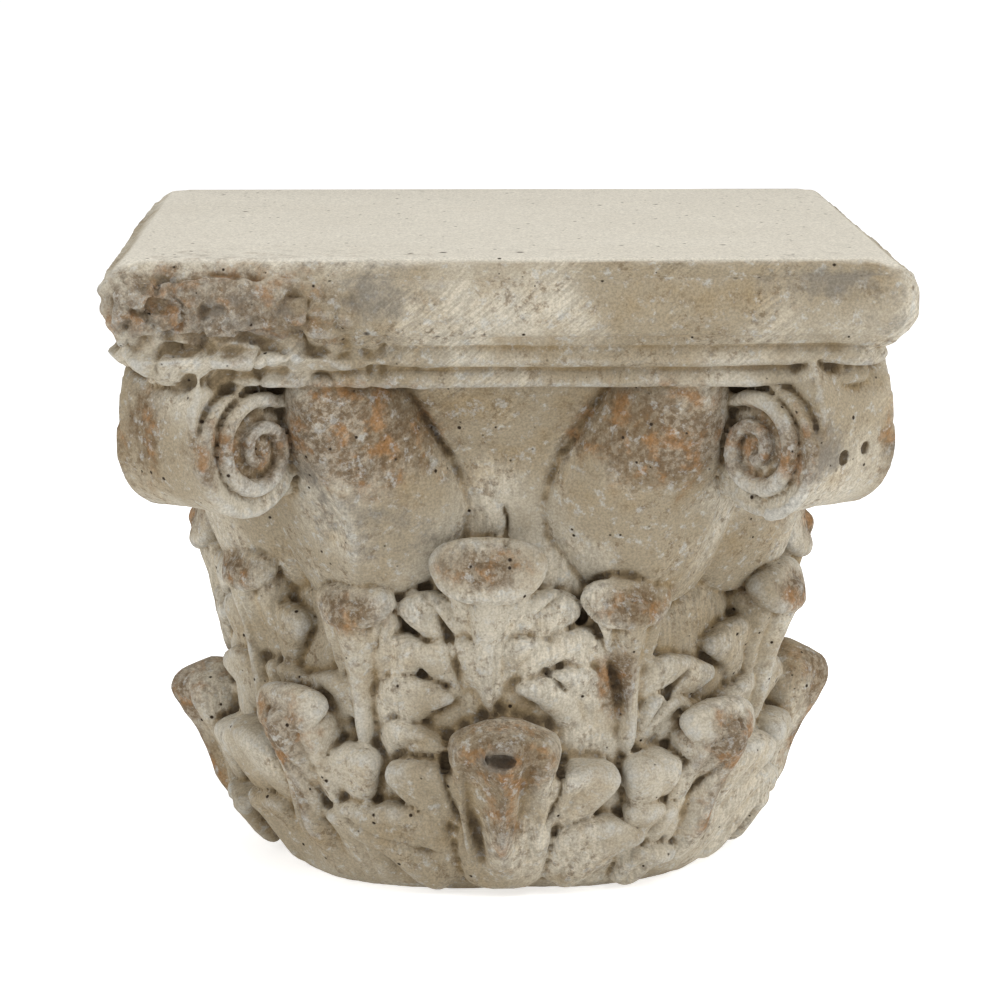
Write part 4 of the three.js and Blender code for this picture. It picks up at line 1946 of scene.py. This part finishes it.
@dataclass(frozen=True)
class Tones:
    """What the finish follows on the skin: hollows for a dirt wash with painted shade, creases for painted
    shade, crests for dry brushing with painted highlight, the top for a paler tone with painted highlight,
    and rubbed and sooty places.
    """

    abacus: Abacus

    @staticmethod
    def _paint(points: Points, patches: Iterable[Patch]) -> Points:
        """Gives how much each point belongs to any of the patches.

        Args:
            points: Rows of x, y and z.
            patches: The patches.

        Returns:
            One value for each point.
        """
        radius = np.hypot(points[:, 0], points[:, 1])
        angle = np.degrees(np.arctan2(points[:, 0], -points[:, 1]))
        total = np.zeros(len(points))
        for patch in patches:
            beside = np.radians((angle - patch.angle + 180) % 360 - 180) * radius / patch.across
            above = (points[:, 2] - patch.height) / patch.up
            here = patch.strength * np.exp(-(beside ** 2 + above ** 2))
            fits = (radius > patch.least_radius) & (radius < patch.most_radius)
            total = np.maximum(total, np.where(fits, here, 0))
        return total

    @staticmethod
    def _rubbed(leaves: Sequence[Leaf]) -> list[Patch]:
        """Gives the brown rubbed places: the leaf tips and flutes, and the round of the stems.

        Args:
            leaves: The leaves, whose tips are rubbed.

        Returns:
            The patches.
        """
        patches = []
        for leaf in leaves:
            lower = leaf.row is Row.LOWER
            drop, tall = (16, 17) if lower else (10, 9)
            patches.append(Patch(leaf.angle, leaf.crown - drop, leaf.width[1] * 0.42, tall, 1.0, 112))
            if lower:
                patches.append(Patch(leaf.angle, leaf.crown - 40, 9, 26, 0.8, 104))
        for face in range(4):
            turn = face * FACE_TURN
            patches.append(Patch(turn - 25, 187, 31, 25, 1.15, 108, 165))
            patches.append(Patch(turn + 25, 186, 30, 22, 1.1, 108, 165))
            patches.append(Patch(turn - 36, 182, 17, 17, 0.8, 148))
            patches.append(Patch(turn + 36, 184, 17, 17, 0.8, 148))
        patches.append(Patch(22, 88, 9, 16, 1.0, 104))
        patches.append(Patch(-37, 238, 52, 19, 0.85, 140))
        patches.append(Patch(-47, 190, 16, 22, 0.8, 160))
        return patches

    @staticmethod
    def _sooty() -> list[Patch]:
        """Gives the dark grey places.

        Returns:
            The patches.
        """
        return [
            Patch(38, 247, 22, 8, 0.75, 140), Patch(43, 236, 9, 14, 0.55, 140),
            Patch(-18, 243, 20, 12, 0.75, 140),
            Patch(-1.5, 63, 9, 4.5, 1.2, 118), Patch(-22, 149, 22, 20, 0.55, 112),
            Patch(-36, 236, 46, 20, 0.55, 140), Patch(40, 183, 9, 14, 0.9, 140),
            Patch(-31, 163, 12, 26, 0.6, 112), Patch(53, 176, 8, 10, 0.7, 150),
            Patch(127, 240, 22, 12, 0.8, 140), Patch(-120, 238, 26, 14, 0.7, 140),
            Patch(200, 242, 24, 12, 0.8, 140),
        ]

    def paint(self, skin: Skin, leaves: Sequence[Leaf]) -> None:
        """Writes the attributes that the finish reads.

        Args:
            skin: The finished skin.
            leaves: The leaves, whose tips are rubbed.
        """
        near = skin.spread(skin.hollowness(4), 1)
        wide = skin.hollowness(24)
        normals = skin.normals()
        points = skin.points
        rough = self.abacus.rough_zone(points)
        high = ease(self.abacus.top - 6, self.abacus.top - 3, points[:, 2])
        layers = {
            # Concave creases: painted shade.
            "painted_crease_shade": ease(0.18, 0.9, near) * (0.82 - 0.4 * rough),
            # Broad hollows: dirt wash and painted shade.
            "hollow": np.clip(0.15 + wide * 0.4, 0, 1),
            # Crests: dry brushing and painted highlight.
            "crest": np.clip(-wide * 0.3 + 0.05, 0, 1),
            "rub": self._paint(points, self._rubbed(leaves)),
            "soot": self._paint(points, self._sooty()),
            # Upward faces near the top: a paler tone and painted highlight.
            "top": ease(0.75, 0.95, normals[:, 2]) * high,
        }
        for name, values in layers.items():
            layer = skin.piece.data.attributes.new(name, "FLOAT", "POINT")
            layer.data.foreach_set("value", values.astype(np.float32))


# ---- the casting --------------------------------------------------------------------------------------
@dataclass(frozen=True)
class Deepening:
    """A pass that deepens the hollows of the skin and lifts its crests."""

    rounds: int
    start: float
    least: float
    most: float
    strength: float

    def work(self, skin: Skin) -> None:
        """Moves the skin by how hollow it is."""
        hollow = skin.hollowness(self.rounds)
        skin.push(np.clip(hollow - self.start, self.least, self.most) * self.strength)


@dataclass
class Capital:
    """The whole casting, from clay to finished piece."""

    width: float
    height: float
    voxel: float = 1.25
    quick_voxel: float = 2.2
    triangles: int = 190_000
    seed: int = 21
    deepenings: tuple[Deepening, ...] = (
        Deepening(12, 0.2, -0.8, 1.3, 0.9),
        Deepening(3, 0.04, 0.0, 0.5, 2.3),
    )
    foliage: Foliage = field(default_factory=Foliage)

    def __post_init__(self) -> None:
        """Sizes the slab from the frame."""
        self.abacus = Abacus(self.width, self.height)

    def model(self) -> bpy.types.Object:
        """Models, carves, wears and paints the casting.

        Returns:
            The finished object, not yet with its material.
        """
        clay = Clay()
        Bell().model(clay)
        self.abacus.model(clay)
        Stem().model(clay)
        Volute().model(clay)
        self.foliage.model(clay)
        LOG.info("forms: %d", len(clay.forms))
        piece = clay.press("capital_stone", self.voxel)
        skin = Skin(piece)
        LOG.info("skin: %d points", skin.count)
        skin.smooth(1)
        for deepening in self.deepenings:
            deepening.work(skin)
        Carving().cut(skin)
        Weather(self.abacus, Noise(self.seed)).wear(skin)
        skin.write()
        Tones(self.abacus).paint(skin, self.foliage.leaves)
        self._thin(piece)
        return piece

    def _thin(self, piece: bpy.types.Object) -> None:
        """Merges faces on the even stretches until the piece is light enough.

        Args:
            piece: The object with the skin.
        """
        bpy.ops.object.select_all(action="DESELECT")
        piece.select_set(True)
        bpy.context.view_layer.objects.active = piece
        faces = sum(len(face.vertices) - 2 for face in piece.data.polygons)
        thin = piece.modifiers.new("thin", "DECIMATE")
        thin.ratio = min(1.0, self.triangles / faces)
        bpy.ops.object.modifier_apply(modifier=thin.name)
        bpy.ops.object.shade_smooth()
        LOG.info("faces: %d of %d", len(piece.data.polygons), faces)


# ---- studio ---------------------------------------------------------------------------------------------
@dataclass(frozen=True)
class Lamp:
    """A square lamp: its place and side in metres, and its power in watts."""

    name: str
    place: tuple[float, float, float]
    side: float
    power: float

    def hang(self, aim_height: float) -> None:
        """Hangs the lamp so that it points at the middle of the capital.

        Args:
            aim_height: The height that it points at.
        """
        lamp = bpy.data.lights.new(self.name, "AREA")
        lamp.size = self.side
        lamp.energy = self.power
        holder = bpy.data.objects.new(self.name, lamp)
        bpy.context.collection.objects.link(holder)
        holder.location = self.place
        aim = np.array([0.0, 0.0, aim_height]) - np.asarray(self.place)
        yaw = math.atan2(aim[0], -aim[1])
        tilt = math.atan2(math.hypot(aim[0], aim[1]), -aim[2])
        holder.rotation_euler = (tilt, 0.0, yaw + math.pi)


@dataclass(frozen=True)
class Studio:
    """A plain pale floor, soft light from above and both sides, and the camera."""

    height: float
    lamps: tuple[Lamp, ...] = (
        Lamp("key light", (0.8, -1.3, 1.5), 0.9, 11.5),
        Lamp("fill light", (-1.4, -0.9, 0.8), 1.2, 10.0),
        Lamp("low light", (1.4, -0.4, 0.3), 1.0, 7.5),
        Lamp("top light", (0.0, 0.3, 1.8), 1.4, 9.0),
    )
    surrounding_light: float = 0.5
    floor_size: float = 30.0
    floor_glow: tuple[float, float] = (0.3, 0.62)
    lens: float = 134.06
    eye: tuple[float, float, float] = (-0.0315, -1.5017, 0.404)
    look_down: float = 9.96
    look_aside: float = -1.2

    def build(self) -> None:
        """Builds the studio."""
        self._floor()
        for lamp in self.lamps:
            lamp.hang(self.height / 2)
        self._surroundings()
        self._camera()

    def _surroundings(self) -> None:
        """Makes the surroundings white to look at, and softer as a light."""
        world = bpy.data.worlds.new("studio")
        world.use_nodes = True
        bench = Bench(world.node_tree)
        light = world.node_tree.nodes["Background"]
        backdrop = bench.node("ShaderNodeBackground")
        for background, strength in ((light, self.surrounding_light), (backdrop, 1.0)):
            background.inputs["Color"].default_value = (1.0, 1.0, 1.0, 1.0)
            background.inputs["Strength"].default_value = strength
        both = bench.node("ShaderNodeMixShader")
        bench.feed(both.inputs[0], bench.node("ShaderNodeLightPath").outputs["Is Camera Ray"])
        bench.feed(both.inputs[1], light.outputs[0])
        bench.feed(both.inputs[2], backdrop.outputs[0])
        bench.feed(world.node_tree.nodes["World Output"].inputs["Surface"], both.outputs[0])
        bpy.context.scene.world = world
        bpy.context.scene.view_settings.view_transform = "Standard"

    def _floor(self) -> None:
        """Lays the floor."""
        bpy.ops.object.select_all(action="DESELECT")
        bpy.ops.mesh.primitive_plane_add(size=self.floor_size)
        floor = bpy.context.object
        floor.name = "studio_floor"
        material = bpy.data.materials.new("pale floor")
        material.use_nodes = True
        shader = material.node_tree.nodes["Principled BSDF"]
        shader.inputs["Base Color"].default_value = (0.9, 0.9, 0.9, 1.0)
        shader.inputs["Emission Color"].default_value = (1.0, 1.0, 1.0, 1.0)
        bench = Bench(material.node_tree)
        seen = bench.node("ShaderNodeLightPath").outputs["Is Camera Ray"]
        bench.feed(shader.inputs["Emission Strength"], bench.range(seen, 0.0, 1.0, *self.floor_glow))
        shader.inputs["Roughness"].default_value = 0.9
        floor.data.materials.append(material)

    def _camera(self) -> None:
        """Sets the camera up."""
        lens = bpy.data.cameras.new("camera")
        lens.lens = self.lens
        lens.sensor_width = 36.0
        holder = bpy.data.objects.new("camera", lens)
        bpy.context.collection.objects.link(holder)
        holder.location = self.eye
        holder.rotation_euler = (math.radians(90 - self.look_down), 0.0, math.radians(self.look_aside))
        bpy.context.scene.camera = holder


def main() -> None:
    """Builds the capital and the studio around the frame."""
    logging.basicConfig(level=logging.INFO, format="%(name)s: %(message)s")
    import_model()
    low_corner, high_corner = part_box("capital")
    width = (high_corner.x - low_corner.x) / MM
    height = (high_corner.z - low_corner.z) / MM
    capital = Capital(width, height)
    piece = capital.model()
    piece.data.materials.clear()
    piece.data.materials.append(StoneMaterial(StoneFinish(), Effects()).build())
    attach(piece, "root")
    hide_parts("capital")
    Studio(high_corner.z).build()


if __name__ == "__main__":
    main()
